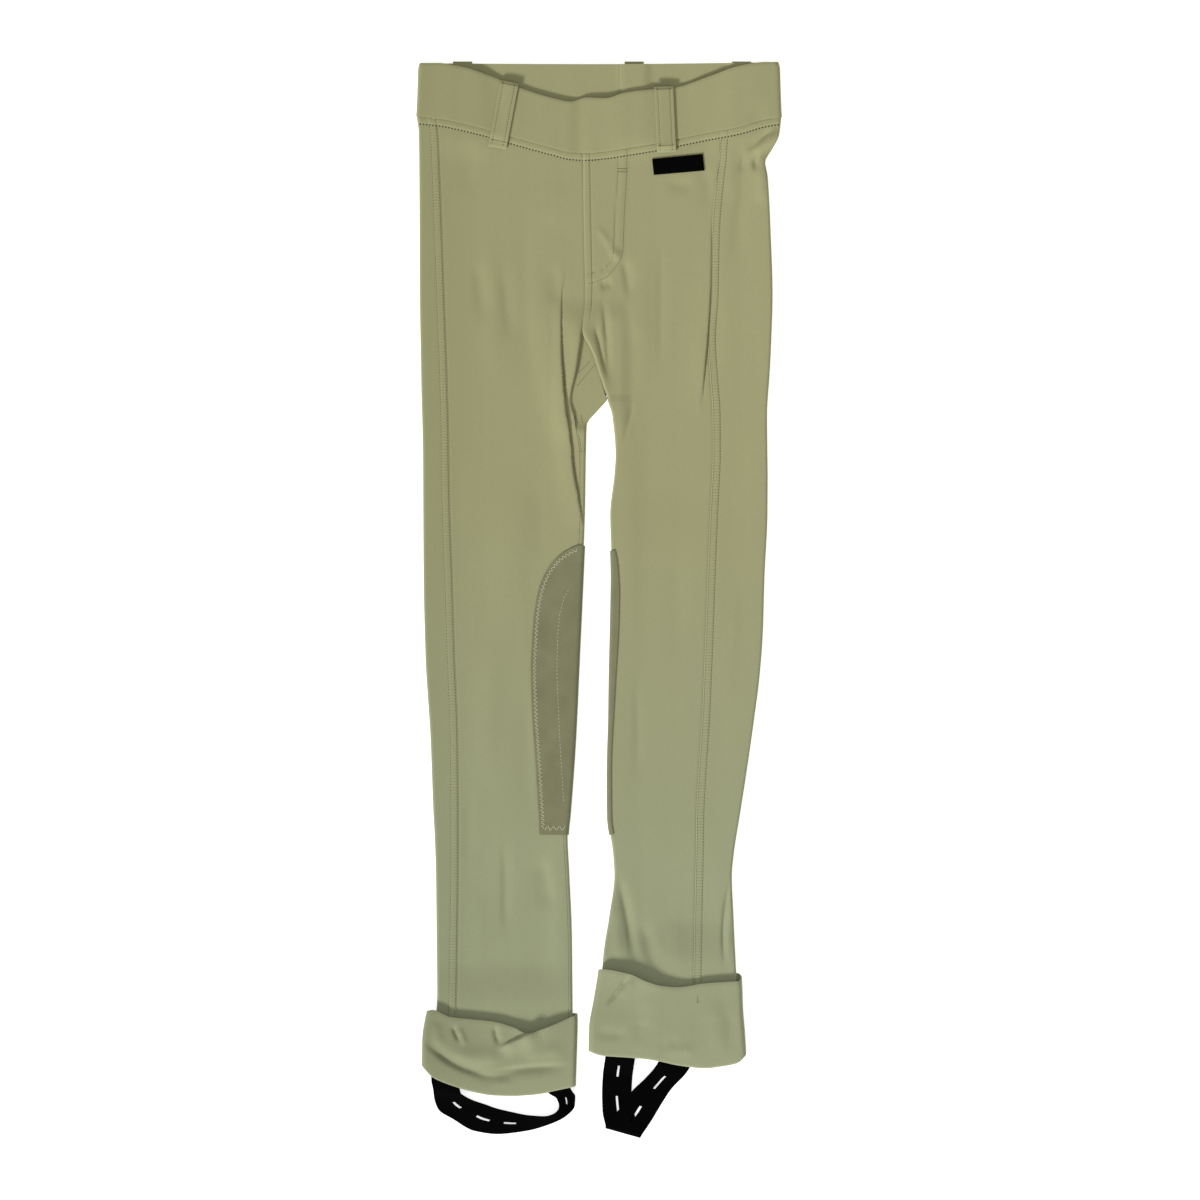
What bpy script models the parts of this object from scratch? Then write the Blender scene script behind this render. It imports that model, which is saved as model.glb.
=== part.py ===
"""Child's pull-on riding breeches, laid flat with the front upwards.

X runs to the wearer's left, Y towards the waist and Z up from the surface the
breeches lie on. Values are in millimetres, and MM turns them into metres.
"""
import math

import bpy
import numpy as np

MM = 0.001

# Thickness of each kind of cloth, and the space between neighbours
CLOTH = 1.2
BAND_CLOTH = 2.2
PATCH_CLOTH = 0.8
LOOP_CLOTH = 1.2
LABEL_CLOTH = 0.6
ELASTIC = 1.5
GAP = 0.3
PLY = CLOTH + 0.4

# How full the flattened tubes are
EDGE_RADIUS = 1.5
SAG = 0.7
SAG_REACH = 28.0
BAND_ROOM = 3.4
CUFF_ROOM = 0.5
CUFF_LIFT = 1.8
TONGUE_RISE = 1.7

# Middle of a cuff's front over the surface where it folds under
CUFF_FRONT = CLOTH / 2 + PLY + 2 * EDGE_RADIUS + CUFF_ROOM + PLY

# Heights on the garment
WAIST_SEAM = 390.0
WAIST_BLEND = 100.0
CROTCH_LEFT = 164.5
CROTCH_RIGHT = 142.0
FRONT_JOIN = 236.0
HEM_TURN = 11.0
HEM_GAP = 1.0
WAIST_GAP = 0.7
HEM_BLEND = 60.0
BACK_SEAM_TOP = 16.5

# How far the cloth takes to settle beside what lies under it
CUFF_REACH = 40.0
PATCH_HOLD = 14.0
PATCH_MARGIN = 16.0
LOOP_MARGIN = 6.0

# Outline of each leg and its side seam: y, outer edge, inner edge, side seam.
# Above the crotch the inner edge is the seam in the middle of the back.
RIGHT_LEG = (
    (390, -147.0, 16.5, -132.0),
    (377, -145.4, 16.0, -130.0),
    (344, -145.0, 14.9, -128.5),
    (243, -144.5, 10.6, -124.8),
    (182, -143.5, 7.8, -122.6),
    (165, -143.2, 7.0, -122.2),
    (153, -142.8, -2.0, -121.8),
    (142, -142.5, -10.5, -121.5),
    (117, -142.0, -11.2, -121.2),
    (69, -141.8, -12.0, -120.3),
    (20, -141.5, -14.0, -118.5),
    (-45, -140.0, -17.0, -116.5),
    (-110, -136.0, -20.0, -114.0),
    (-174, -133.5, -24.5, -113.5),
    (-190, -132.6, -26.0, -113.5),
    (-223, -131.5, -24.5, -113.6),
    (-272, -131.0, -22.5, -114.2),
    (-324, -130.5, -22.0, -115.0),
    (-350, -133.5, -21.8, -116.5),
    (-390, -139.0, -21.5, -119.0),
)
LEFT_LEG = (
    (390, 147.0, 16.5, 98.5),
    (376, 145.2, 16.0, 97.8),
    (366, 140.0, 15.6, 97.0),
    (356, 134.0, 15.3, 96.5),
    (344, 136.0, 14.9, 95.0),
    (296, 138.5, 12.8, 91.0),
    (247, 140.0, 10.8, 90.0),
    (212, 139.0, 9.2, 87.8),
    (180, 137.4, 7.8, 89.6),
    (165, 136.2, 7.2, 90.8),
    (150, 135.5, 11.2, 91.6),
    (117, 135.8, 14.0, 91.8),
    (101, 136.0, 13.0, 91.2),
    (69, 135.8, 9.6, 89.6),
    (20, 133.5, 11.0, 87.6),
    (-28, 132.0, 10.2, 85.9),
    (-61, 129.5, 9.4, 84.6),
    (-93, 125.5, 9.0, 83.2),
    (-142, 118.5, 7.8, 80.0),
    (-174, 113.5, 8.0, 78.4),
    (-206, 108.5, 12.0, 78.0),
    (-223, 107.0, 13.0, 77.6),
    (-255, 108.3, 9.0, 77.0),
    (-288, 109.8, 4.0, 76.4),
    (-320, 111.5, 2.0, 76.0),
    (-372, 115.5, -4.0, 76.0),
)

# Inner edge of each front panel, from the waist to below the crotch: y, x
RIGHT_FRONT_EDGE = (
    (390, -13.6), (292, -12.0), (251, -11.3), (234, -12.0), (223, -13.8),
    (200, -16.0), (180, -19.5), (171, -22.0), (162, -23.0), (154, -22.0),
    (149, -20.4), (137, -18.4), (118, -15.6), (69, -15.4), (20, -18.0), (-45, -21.0),
    (-110, -24.0), (-174, -28.0), (-190, -28.6), (-223, -27.0), (-272, -25.0),
    (-324, -24.5), (-390, -24.0),
)
LEFT_FRONT_EDGE = (
    (390, -13.6), (292, -12.0), (251, -11.3), (234, -11.6), (223, -11.2),
    (211, -8.5), (200, -5.0), (190, -2.0), (180, 1.0), (171, 4.4), (165, 7.4),
)

# Seam between back and front on the underside of the left leg: y, x
LEFT_UNDER_SEAM = (
    (165, 7.2), (158, 13.8), (145, 20.0), (125, 31.0), (100, 38.0), (60, 38.5), (0, 39.0),
    (-60, 38.0), (-110, 37.0), (-206, 38.0), (-255, 35.0), (-300, 31.0), (-372, 27.0),
)

# Waistband edges on the front: x, lower edge, upper edge
FRONT_BAND = (
    (-147.0, 391.0, 434.6), (-131.0, 389.4, 434.6), (-110.0, 385.2, 431.4),
    (-89.0, 380.0, 424.6), (-65.0, 373.0, 415.0), (-37.5, 365.6, 406.4),
    (-23.0, 362.0, 403.6), (-10.0, 361.4, 406.8), (5.0, 362.6, 406.2),
    (21.0, 365.0, 410.6), (45.5, 369.0, 413.6), (61.0, 372.2, 414.8),
    (88.5, 377.8, 423.6), (114.0, 382.6, 432.4), (135.0, 388.6, 435.4), (147.0, 390.6, 435.4),
)
BACK_BAND_TOP = ((-147.0, 434.6), (0.0, 434.0), (147.0, 435.4))
BAND_SIDE = ((390.0, 147.0), (400.0, 146.4), (418.0, 145.8), (430.0, 145.4), (436.0, 143.8))

# Cuff edges: x, lower edge, upper edge; and cuff sides: y, left edge, right edge
RIGHT_CUFF = (
    (-143.0, -376.0, -332.0), (-134.0, -385.2, -331.6), (-120.5, -391.0, -337.0),
    (-104.5, -396.0, -338.8), (-85.0, -399.6, -341.0), (-69.0, -400.0, -345.6),
    (-57.5, -399.4, -350.4), (-48.0, -398.4, -347.6), (-33.0, -395.2, -341.8), (-18.0, -392.2, -335.0),
)
LEFT_CUFF = (
    (-8.0, -364.0, -298.0), (2.5, -367.4, -298.4), (25.0, -369.0, -302.4), (38.0, -370.2, -308.2),
    (51.0, -372.4, -312.0), (64.0, -375.2, -313.0), (86.0, -377.6, -310.0), (100.0, -376.0, -309.0),
    (112.0, -373.4, -308.4), (119.0, -367.0, -309.0),
)
RIGHT_CUFF_SIDES = ((-332, -137.5, -18.4), (-344, -140.0, -17.8), (-370, -142.6, -18.4), (-402, -143.0, -19.4))
LEFT_CUFF_SIDES = ((-298, 0.8, 114.6), (-312, -1.0, 115.4), (-332, -4.0, 116.0), (-356, -7.4, 117.6), (-380, -8.0, 118.8))

# Largest folds on the front: start, middle and end of each crease, its height (a
# trough is below nought) and its width
FOLD_COLUMNS = ("x0", "y0", "x1", "y1", "x2", "y2", "height", "width")
FOLDS = {
    "right": (
        (-12, 236, -17, 200, -23, 150, 1.9, 7),
        (-27, 262, -33, 205, -22, 120, -1.3, 4),
        (-40, 250, -40, 190, -28, 110, 1.4, 8),
        (-22, 128, -18, 98, -13, 66, -1.2, 3.5),
        (-60, 300, -58, 230, -50, 150, -0.9, 7),
        (-99, 275, -96, 250, -93, 226, -0.8, 6),
        (-70, -205, -68, -240, -67, -275, -0.8, 6),
        (-48, -205, -42, -230, -40, -262, -0.9, 9),
        (-75, -150, -60, -90, -62, -20, 0.8, 9),
    ),
    "left": (
        (-11, 236, -4, 200, 9, 155, 1.9, 7),
        (3, 262, 9, 215, 14, 160, -1.0, 5),
        (11, 281, 16, 272, 18, 262, 1.6, 5),
        (-2, 262, 4, 256, 10, 258, -1.2, 4),
        (20, 282, 24, 264, 23, 240, -0.9, 4),
        (91, 292, 88, 215, 84, 165, 1.2, 5),
        (97, 255, 93, 212, 90, 160, -0.8, 4),
        (118, 366, 128, 372, 138, 378, 1.8, 5),
        (126, 354, 134, 362, 143, 368, -1.4, 4),
        (127, 353, 119, 352, 114, 340, -1.4, 5),
        (14, -218, 24, -262, 29, -300, -1.4, 5),
        (6, -240, 12, -275, 14, -300, 1.0, 7),
        (40, -265, 42, -285, 50, -306, -1.0, 7),
        (107, -226, 99, -258, 101, -298, -1.1, 4),
    ),
    "right_cuff": (
        (-56, -349, -66, -355, -79, -361, -1.2, 3.5),
        (-139, -358, -112, -386, -84, -385, -1.5, 6),
        (-84, -384, -55, -376, -28, -378, -1.3, 5),
        (-125, -372, -95, -372, -70, -366, 1.6, 9),
        (-50, -360, -36, -356, -24, -350, 1.3, 8),
    ),
    "left_cuff": (
        (22, -306, 15, -315, 7, -325, -1.2, 3.5),
        (8, -350, 20, -352, 34, -348, -1.0, 6),
        (50, -368, 66, -362, 80, -366, 1.0, 6),
        (90, -330, 98, -350, 92, -368, 0.9, 9),
    ),
}

# Knee patches: y, reach over the front and reach under the leg, along the cloth
RIGHT_PATCH = (
    (44, 9, 14), (42, 15, 20), (36, 23, 27), (26, 32, 34), (14, 38, 38), (0, 42, 42),
    (-16, 43, 44), (-45, 43, 46), (-93, 40, 45), (-125, 37, 42), (-155, 32, 38), (-190, 26, 34),
)
LEFT_PATCH = (
    (40, 2.2, 26), (37, 3.4, 34), (30, 4.4, 44), (20, 5.2, 54), (4, 6.0, 62), (-16, 6.0, 66),
    (-45, 5.2, 68), (-70, 4.2, 68), (-98, 3.0, 66), (-125, 2.4, 62), (-155, 2.2, 58), (-190, 2.2, 54),
)

# Belt loops on the front: x and y of the middle of the upper and lower ends, width
FRONT_LOOPS = {
    "belt_loop_front_right": (-72.4, 419.4, -82.4, 366.2, 15.0),
    "belt_loop_front_left": (52.2, 415.6, 54.6, 362.4, 15.6),
}
# Belt loops under the back: middle x and width
BACK_LOOPS = {
    "belt_loop_back_right": (-110.5, 15.5),
    "belt_loop_back_middle": (28.5, 15.5),
    "belt_loop_back_left": (115.5, 15.5),
}
BACK_LOOP_TOP = 435.65
BACK_LOOP_FOOT = 377.0

LABEL_CORNERS = ((44.4, 344.0), (85.4, 347.6), (84.0, 361.0), (43.0, 357.0))

# Stirrup elastics, a row for each section: x and y of one edge, x and y of the
# other, and the height of each edge's middle over the surface
RIGHT_STIRRUP = (
    (-136.0, -379.0, -112.0, -383.0, 3.95, 3.95),
    (-135.8, -388.5, -113.0, -392.0, 3.95, 3.95),
    (-134.4, -396.0, -112.0, -398.6, 3.0, 4.0),
    (-133.4, -404.0, -106.5, -403.0, 1.2, 3.2),
    (-129.8, -413.0, -100.0, -405.8, 0.75, 2.2),
    (-118.0, -420.6, -92.0, -408.4, 0.75, 1.6),
    (-101.0, -430.0, -83.5, -411.4, 0.75, 1.8),
    (-82.0, -432.6, -72.0, -414.2, 0.75, 2.2),
    (-59.0, -430.0, -56.0, -417.2, 0.75, 3.0),
    (-41.5, -425.0, -44.0, -418.0, 0.9, 4.2),
    (-27.0, -418.0, -35.4, -415.2, 0.9, 4.6),
    (-19.8, -410.0, -32.4, -410.0, 0.9, 4.0),
    (-19.2, -402.0, -34.6, -403.4, 2.2, 4.0),
    (-22.8, -395.6, -41.0, -399.0, 3.95, 4.05),
    (-25.6, -383.0, -46.0, -386.0, 3.95, 3.95),
)
LEFT_STIRRUP = (
    (6.0, -355.0, 30.2, -356.0, 4.0, 4.0),
    (5.2, -368.4, 29.2, -370.0, 4.0, 4.0),
    (4.0, -377.0, 28.0, -379.0, 2.3, 2.3),
    (3.0, -385.0, 27.0, -387.0, 0.75, 0.75),
    (2.4, -400.0, 26.4, -400.0, 0.75, 0.75),
    (2.8, -414.0, 28.2, -413.0, 0.75, 0.75),
    (5.2, -425.6, 33.2, -433.4, 0.75, 0.75),
    (5.2, -427.0, 33.6, -435.0, 1.9, 1.9),
    (6.4, -425.4, 35.0, -432.6, 3.0, 3.0),
    (15.6, -413.0, 42.5, -421.5, 3.1, 3.1),
    (27.0, -397.2, 50.5, -408.0, 3.1, 3.1),
    (37.6, -387.0, 58.5, -396.0, 2.6, 2.6),
    (47.0, -375.6, 71.0, -382.4, 4.0, 4.0),
    (53.0, -362.0, 80.0, -366.0, 4.0, 4.0),
)

# Materials: colour, roughness
MATERIALS = {
    "olive stretch cloth": ((0.30, 0.29, 0.155, 1.0), 0.85),
    "waistband cloth": ((0.32, 0.305, 0.17, 1.0), 0.85),
    "knee suede": ((0.21, 0.205, 0.12, 1.0), 0.95),
    "black elastic": ((0.012, 0.012, 0.013, 1.0), 0.8),
    "black woven label": ((0.01, 0.01, 0.011, 1.0), 0.7),
}


def smooth_step(value, start, end):
    """Rises from 0 at start to 1 at end; start may be the larger."""
    t = np.clip((np.asarray(value, dtype=float) - start) / (end - start), 0.0, 1.0)
    return t * t * (3.0 - 2.0 * t)


def table_at(table, index, where):
    """A table's column on a smooth curve through its rows that never overshoots them."""
    rows = sorted(table)
    xs = np.array([row[0] for row in rows], dtype=float)
    vs = np.array([row[index] for row in rows], dtype=float)
    steps = np.diff(xs)
    rises = np.diff(vs) / steps
    slopes = np.zeros(len(xs))
    slopes[0] = rises[0]
    slopes[-1] = rises[-1]
    same_way = rises[:-1] * rises[1:] > 0
    both = rises[:-1] + rises[1:]
    slopes[1:-1] = np.where(same_way, 2.0 * rises[:-1] * rises[1:] / np.where(same_way, both, 1.0), 0.0)
    x = np.clip(np.asarray(where, dtype=float), xs[0], xs[-1])
    i = np.clip(np.searchsorted(xs, x, side="right") - 1, 0, len(steps) - 1)
    h = steps[i]
    t = (x - xs[i]) / h
    start = vs[i] * (2 * t ** 3 - 3 * t ** 2 + 1) + slopes[i] * h * (t ** 3 - 2 * t ** 2 + t)
    end = vs[i + 1] * (3 * t ** 2 - 2 * t ** 3) + slopes[i + 1] * h * (t ** 3 - t ** 2)
    return start + end


def fold_height(side, x, y):
    """Sum of a side's creases at (x, y): each is a soft ridge or trough along its curve."""
    total = np.zeros(np.broadcast(x, y).shape)
    steps = np.linspace(0.0, 1.0, 13)
    for fold in FOLDS[side]:
        crease = dict(zip(FOLD_COLUMNS, fold))
        curve_x = (1 - steps) ** 2 * crease["x0"] + 2 * steps * (1 - steps) * crease["x1"] + steps ** 2 * crease["x2"]
        curve_y = (1 - steps) ** 2 * crease["y0"] + 2 * steps * (1 - steps) * crease["y1"] + steps ** 2 * crease["y2"]
        nearest = np.full(total.shape, 1e9)
        along = np.zeros(total.shape)
        for k in range(len(steps) - 1):
            dx = curve_x[k + 1] - curve_x[k]
            dy = curve_y[k + 1] - curve_y[k]
            t = np.clip(((x - curve_x[k]) * dx + (y - curve_y[k]) * dy) / (dx * dx + dy * dy), 0.0, 1.0)
            away = np.hypot(x - curve_x[k] - t * dx, y - curve_y[k] - t * dy)
            along = np.where(away < nearest, (k + t) / (len(steps) - 1), along)
            nearest = np.minimum(away, nearest)
        fade = 1.0 - (2.0 * along - 1.0) ** 4
        total = total + crease["height"] * fade * np.exp(-(nearest / crease["width"]) ** 2)
    return total


class Leg:
    """One leg and its half of the seat: tables and the way its inside lies."""

    def __init__(self, side, outline, front_edge, patch, cuff, cuff_sides, crotch):
        self.side = side
        self.outline = outline
        self.front_edge = front_edge
        self.patch = patch
        self.cuff = cuff
        self.cuff_sides = cuff_sides
        self.crotch = crotch
        self.inward = 1.0 if side == "right" else -1.0
        self.hem = sum(row[1] for row in cuff) / len(cuff) + HEM_TURN
        self.cuff_top = max(row[2] for row in cuff)

    def outer(self, y):
        return table_at(self.outline, 1, y)

    def inner(self, y):
        return table_at(self.outline, 2, y)

    def side_seam(self, y):
        return table_at(self.outline, 3, y)


RIGHT = Leg("right", RIGHT_LEG, RIGHT_FRONT_EDGE, RIGHT_PATCH, RIGHT_CUFF, RIGHT_CUFF_SIDES, CROTCH_RIGHT)
LEFT = Leg("left", LEFT_LEG, LEFT_FRONT_EDGE, LEFT_PATCH, LEFT_CUFF, LEFT_CUFF_SIDES, CROTCH_LEFT)


def loop_rise(x, y):
    """How far the back is lifted by the belt loops that lie under it."""
    total = np.zeros(np.broadcast(x, y).shape)
    for middle, width in BACK_LOOPS.values():
        half = width / 2
        across = smooth_step(np.abs(x - middle), half + LOOP_MARGIN, half + 1.0)
        total = np.maximum(total, across)
    return total * (LOOP_CLOTH + GAP) * smooth_step(y, BACK_LOOP_FOOT - LOOP_MARGIN, BACK_LOOP_FOOT - 1.0)


def back_height(leg, x, y):
    """Middle of the back layer's cloth over the surface; patch, cuff and loops lift it."""
    from_inner = np.abs(x - leg.inner(y))
    reach = table_at(leg.patch, 2, y)
    low_end = leg.patch[-1][0]
    high_end = leg.patch[0][0]
    patch = smooth_step(from_inner, reach + PATCH_HOLD + PATCH_MARGIN, reach + PATCH_HOLD)
    patch = patch * smooth_step(y, high_end + PATCH_MARGIN, high_end + 1.0)
    patch = patch * smooth_step(y, low_end - PATCH_MARGIN, low_end - 1.0)
    cuff = smooth_step(y, leg.cuff_top + CUFF_REACH, leg.cuff_top + 4.0)
    rise = np.maximum(patch * (PATCH_CLOTH + GAP), cuff * PLY)
    return CLOTH / 2 + np.maximum(rise, loop_rise(x, y))


def front_height(leg, x, y):
    """Middle of the front layer's cloth over the surface."""
    from_outer = np.abs(x - leg.outer(y))
    from_inner = np.where(y < leg.crotch, np.abs(x - leg.inner(y)), SAG_REACH)
    inside = smooth_step(np.minimum(from_outer, from_inner), 3.0, SAG_REACH)
    cuff = smooth_step(y, leg.cuff_top + CUFF_REACH, leg.cuff_top + 4.0)
    tongue = smooth_step(np.abs(x + 6.0), 34.0, 22.0) * smooth_step(y, 120.0, 150.0) * smooth_step(y, 245.0, 225.0)
    room = 2 * EDGE_RADIUS - SAG * inside * (1.0 - cuff) + CUFF_ROOM * cuff + TONGUE_RISE * tongue
    return back_height(leg, x, y) + room + fold_height(leg.side, x, y)


def shaped_y(leg, x, y, on_front):
    """Bends the rows next to the waist and the hem to follow those edges."""
    at_waist = smooth_step(y, WAIST_SEAM - WAIST_BLEND, WAIST_SEAM)
    at_hem = smooth_step(y, leg.hem + HEM_BLEND, leg.hem)
    waist = table_at(FRONT_BAND, 1, x) - WAIST_SEAM if on_front else 0.0
    hem = table_at(leg.cuff, 1, x) + HEM_TURN - leg.hem
    return y + at_waist * (waist - WAIST_GAP / 2) + at_hem * (hem + HEM_GAP)


def edge_point(leg, edge, inward, y, angle):
    """A point on the rounded side of a leg; the angle is 90 on top and -90 underneath."""
    flat = edge + inward * EDGE_RADIUS
    low = back_height(leg, flat, y)
    high = front_height(leg, flat, y)
    turn = math.radians(angle)
    x = edge + inward * EDGE_RADIUS * (1.0 - math.cos(turn))
    return (float(x), float(y), float(low + (high - low) / 2 * (1.0 + math.sin(turn))))


def leg_rows(leg):
    """Heights of the rows of a leg's panels, closer together where the shape changes quickly."""
    rows = [leg.hem]
    marks = [row[0] for row in leg.outline if leg.hem + 8 < row[0] < WAIST_SEAM - 3]
    marks += [row[0] for row in leg.patch[::2]] + [leg.patch[-1][0], 228, 214, 200, 172, 366, 320, 268]
    for y in sorted(set(marks)):
        if y - rows[-1] >= 5.0:
            rows.append(float(y))
    crotch_rows = [165.0]
    rows = [y for y in rows if min(abs(y - c) for c in crotch_rows) > 4.0] + crotch_rows
    return sorted(rows) + [WAIST_SEAM]


def add_sheet(name, points, faces, thickness, material):
    """Makes one closed body from an open surface, half its thickness to each side."""
    used = sorted({i for face in faces for i in face})
    place = {old: new for new, old in enumerate(used)}
    middle = np.array([points[i] for i in used], dtype=float)
    quads = [tuple(place[i] for i in face) for face in faces]
    normals = sheet_normals(middle, quads)
    count = len(middle)
    verts = np.vstack((middle + normals * thickness / 2, middle - normals * thickness / 2)) * MM
    body = list(quads) + [tuple(i + count for i in reversed(face)) for face in quads]
    directed = {(face[k], face[(k + 1) % len(face)]) for face in quads for k in range(len(face))}
    rim = sorted(edge for edge in directed if (edge[1], edge[0]) not in directed)
    body += [(b, a, a + count, b + count) for a, b in rim]
    mesh = bpy.data.meshes.new(name)
    mesh.from_pydata([tuple(v) for v in verts], [], body)
    mesh.materials.append(make_material(material))
    mesh.update()
    obj = bpy.data.objects.new(name, mesh)
    bpy.context.scene.collection.objects.link(obj)
    mesh.shade_smooth()
    mesh.set_sharp_from_angle(angle=math.radians(40))
    return obj


def sheet_normals(points, faces):
    """Normal at each point, from the faces around it."""
    normals = np.zeros(points.shape)
    for face in faces:
        corners = points[list(face)]
        normal = np.cross(corners[2] - corners[0], corners[-1] - corners[1])
        for i in face:
            normals[i] += normal
    return normals / np.linalg.norm(normals, axis=1)[:, None]


def grid_faces(rows, columns, keep=None, closed=False):
    """Quads of a grid of points; keep(row, column) leaves out the cells it refuses."""
    faces = []
    for i in range(rows - 1):
        for j in range(columns if closed else columns - 1):
            if keep is None or keep(i, j):
                right = (j + 1) % columns
                faces.append((i * columns + j, i * columns + right, (i + 1) * columns + right, (i + 1) * columns + j))
    return faces


def make_material(name):
    """A plain surface of one colour."""
    if name in bpy.data.materials:
        return bpy.data.materials[name]
    colour, roughness = MATERIALS[name]
    material = bpy.data.materials.new(name)
    material.use_nodes = True
    surface = material.node_tree.nodes["Principled BSDF"]
    surface.inputs["Base Color"].default_value = colour
    surface.inputs["Roughness"].default_value = roughness
    surface.inputs["Metallic"].default_value = 0.0
    material.diffuse_color = colour
    return material


def front_panel(leg, columns=9):
    """Front of one leg and its half of the seat, from the side seam to the inner edge."""
    points = []
    rows = leg_rows(leg)
    under_columns = 4 if leg is LEFT else 0
    arc = (60.0, 30.0, 0.0)
    for y in rows:
        wraps = leg is LEFT and y < CROTCH_LEFT
        edge = float(leg.inner(y) if wraps else table_at(leg.front_edge, 1, y))
        seam = float(leg.side_seam(y)) + leg.inward * GAP / 2
        flat_end = edge - leg.inward * (EDGE_RADIUS if y < FRONT_JOIN else GAP / 2)
        curl = float(smooth_step(y, FRONT_JOIN, 215.0)) if y > CROTCH_RIGHT + 20 else float(smooth_step(y, 150.0, 162.0))
        for x in np.linspace(seam, flat_end, columns):
            row_y = float(shaped_y(leg, x, y, True))
            points.append((x, row_y, float(front_height(leg, x, row_y))))
        for angle in arc:
            x, row_y, z = edge_point(leg, edge, -leg.inward, y, angle)
            if not wraps:
                flat_z = float(front_height(leg, flat_end, y))
                turn = math.radians(angle)
                x = edge - leg.inward * (EDGE_RADIUS * (1 - math.cos(turn)) + GAP / 2)
                z = flat_z - curl * EDGE_RADIUS * (1 - math.sin(turn))
                row_y = float(shaped_y(leg, x, y, True))
            points.append((x, float(shaped_y(leg, x, y, True)) if wraps else row_y, z))
        if under_columns:
            seam_under = float(table_at(LEFT_UNDER_SEAM, 1, y)) - GAP / 2
            for angle in (-35.0, -90.0):
                x, row_y, z = edge_point(leg, edge, -leg.inward, y, angle)
                points.append((x, float(shaped_y(leg, x, y, False)), z))
            start = edge - leg.inward * EDGE_RADIUS
            for share in (0.5, 1.0):
                x = start + (max(seam_under, start + 2.0) - start) * share
                row_y = float(shaped_y(leg, x, y, False))
                points.append((x, row_y, float(back_height(leg, x, row_y))))
    width = columns + len(arc) + under_columns
    joined = columns + len(arc) - 1

    def keep(i, j):
        if rows[i] >= FRONT_JOIN - 8 and columns - 1 <= j < joined:
            return rows[i] < FRONT_JOIN - 8
        return j < joined or rows[i + 1] < CROTCH_LEFT - 3

    return add_sheet(f"front_{leg.side}", points, grid_faces(len(rows), width, keep), CLOTH, "olive stretch cloth")


def back_columns(first, last):
    """Places across the back at the waist from first to last, with a pair at each side of a belt loop."""
    low, high = min(first, last), max(first, last)
    marks = []
    for middle, width in BACK_LOOPS.values():
        for reach in (width / 2 + 1.0, width / 2 + LOOP_MARGIN):
            marks += [middle - reach, middle + reach]
    marks = [low, high] + [x for x in marks if low + 2.0 < x < high - 2.0]
    fillers = np.linspace(low, high, 8)[1:-1]
    marks += [float(x) for x in fillers if min(abs(x - mark) for mark in marks) > 9.0]
    return sorted(marks, reverse=first > last)


def back_panel(leg):
    """Back of one leg and its half of the seat; it comes round the outer edge to the side seam."""
    points = []
    rows = leg_rows(leg)
    at_waist = back_columns(float(leg.outer(WAIST_SEAM)) + leg.inward * EDGE_RADIUS, BACK_SEAM_TOP - leg.inward * GAP / 2)
    shares = [(x - at_waist[0]) / (at_waist[-1] - at_waist[0]) for x in at_waist]
    columns = len(shares)
    tongue_end = CROTCH_LEFT + 1.0
    tongue_columns = 5 if leg is RIGHT else 0
    for y in rows:
        outer = float(leg.outer(y))
        seam = float(leg.side_seam(y)) - leg.inward * GAP / 2
        for x in np.linspace(seam, outer + leg.inward * EDGE_RADIUS, 4):
            row_y = float(shaped_y(leg, x, y, True))
            points.append((x, row_y, float(front_height(leg, x, row_y))))
        for angle in (45.0, 0.0, -45.0):
            x, row_y, z = edge_point(leg, outer, leg.inward, y, angle)
            points.append((x, float(shaped_y(leg, x, y, False)), z))
        inner = float(leg.inner(y))
        folded = leg is RIGHT and y <= tongue_end
        if leg is LEFT and y < CROTCH_LEFT:
            end = float(table_at(LEFT_UNDER_SEAM, 1, y)) + GAP / 2
        elif folded:
            end = inner - EDGE_RADIUS
        else:
            end = inner - leg.inward * GAP / 2
        start = outer + leg.inward * EDGE_RADIUS
        for share in shares:
            x = start + (end - start) * share
            row_y = float(shaped_y(leg, x, y, False))
            points.append((x, row_y, float(back_height(leg, x, row_y))))
        if tongue_columns:
            points += inner_turn(leg, y, inner, folded)
    width = 7 + columns + tongue_columns

    def keep(i, j):
        return j < 6 + columns or rows[i + 1] <= tongue_end

    return add_sheet(f"back_{leg.side}", points, grid_faces(len(rows), width, keep), CLOTH, "olive stretch cloth")


def inner_turn(leg, y, inner, folded):
    """The right back panel past its inner edge: up and over, then back to the inseam.

    At the crotch it spreads into the tongue that shows between the legs.
    """
    if not folded:
        return [(inner, y, 0.0)] * 5
    low = float(back_height(leg, inner - EDGE_RADIUS, y))
    fan = float(smooth_step(y, 140.0, 165.0))
    edge_top = float(front_height(leg, inner - EDGE_RADIUS, y))
    high = edge_top + (low + PLY + 0.2 - edge_top) * min(1.0, float(smooth_step(y, 132.0, 142.0)))
    seam_x = min(float(table_at(leg.front_edge, 1, y)) + GAP / 2, inner - EDGE_RADIUS - 1.0)
    end_x = seam_x + (-7.0 - seam_x) * fan
    end_y = y + 47.0 * fan
    turn = []
    for angle in (-40.0, 0.0, 45.0):
        t = math.radians(angle)
        x = inner - EDGE_RADIUS * (1 - math.cos(t))
        turn.append((x, y, low + (high - low) / 2 * (1 + math.sin(t))))
    start_x = inner - EDGE_RADIUS
    for share in (0.35, 1.0):
        turn.append((start_x + (end_x - start_x) * share, y + (end_y - y) * share, high))
    if fan > 0.0:
        return turn
    return [(x, float(shaped_y(leg, x, y, False)), z) for x, y, z in turn]


def band_height(x, y, on_front):
    """Middle of the waistband's cloth over the surface."""
    low = BAND_CLOTH / 2 + loop_rise(x, y)
    if not on_front:
        return low
    side = np.abs(x)
    inside = smooth_step(side, 145.0, 115.0)
    dent = -0.8 * np.exp(-((x + 16.0) / 7.0) ** 2)
    return low + BAND_ROOM - 0.5 * inside + dent


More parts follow.
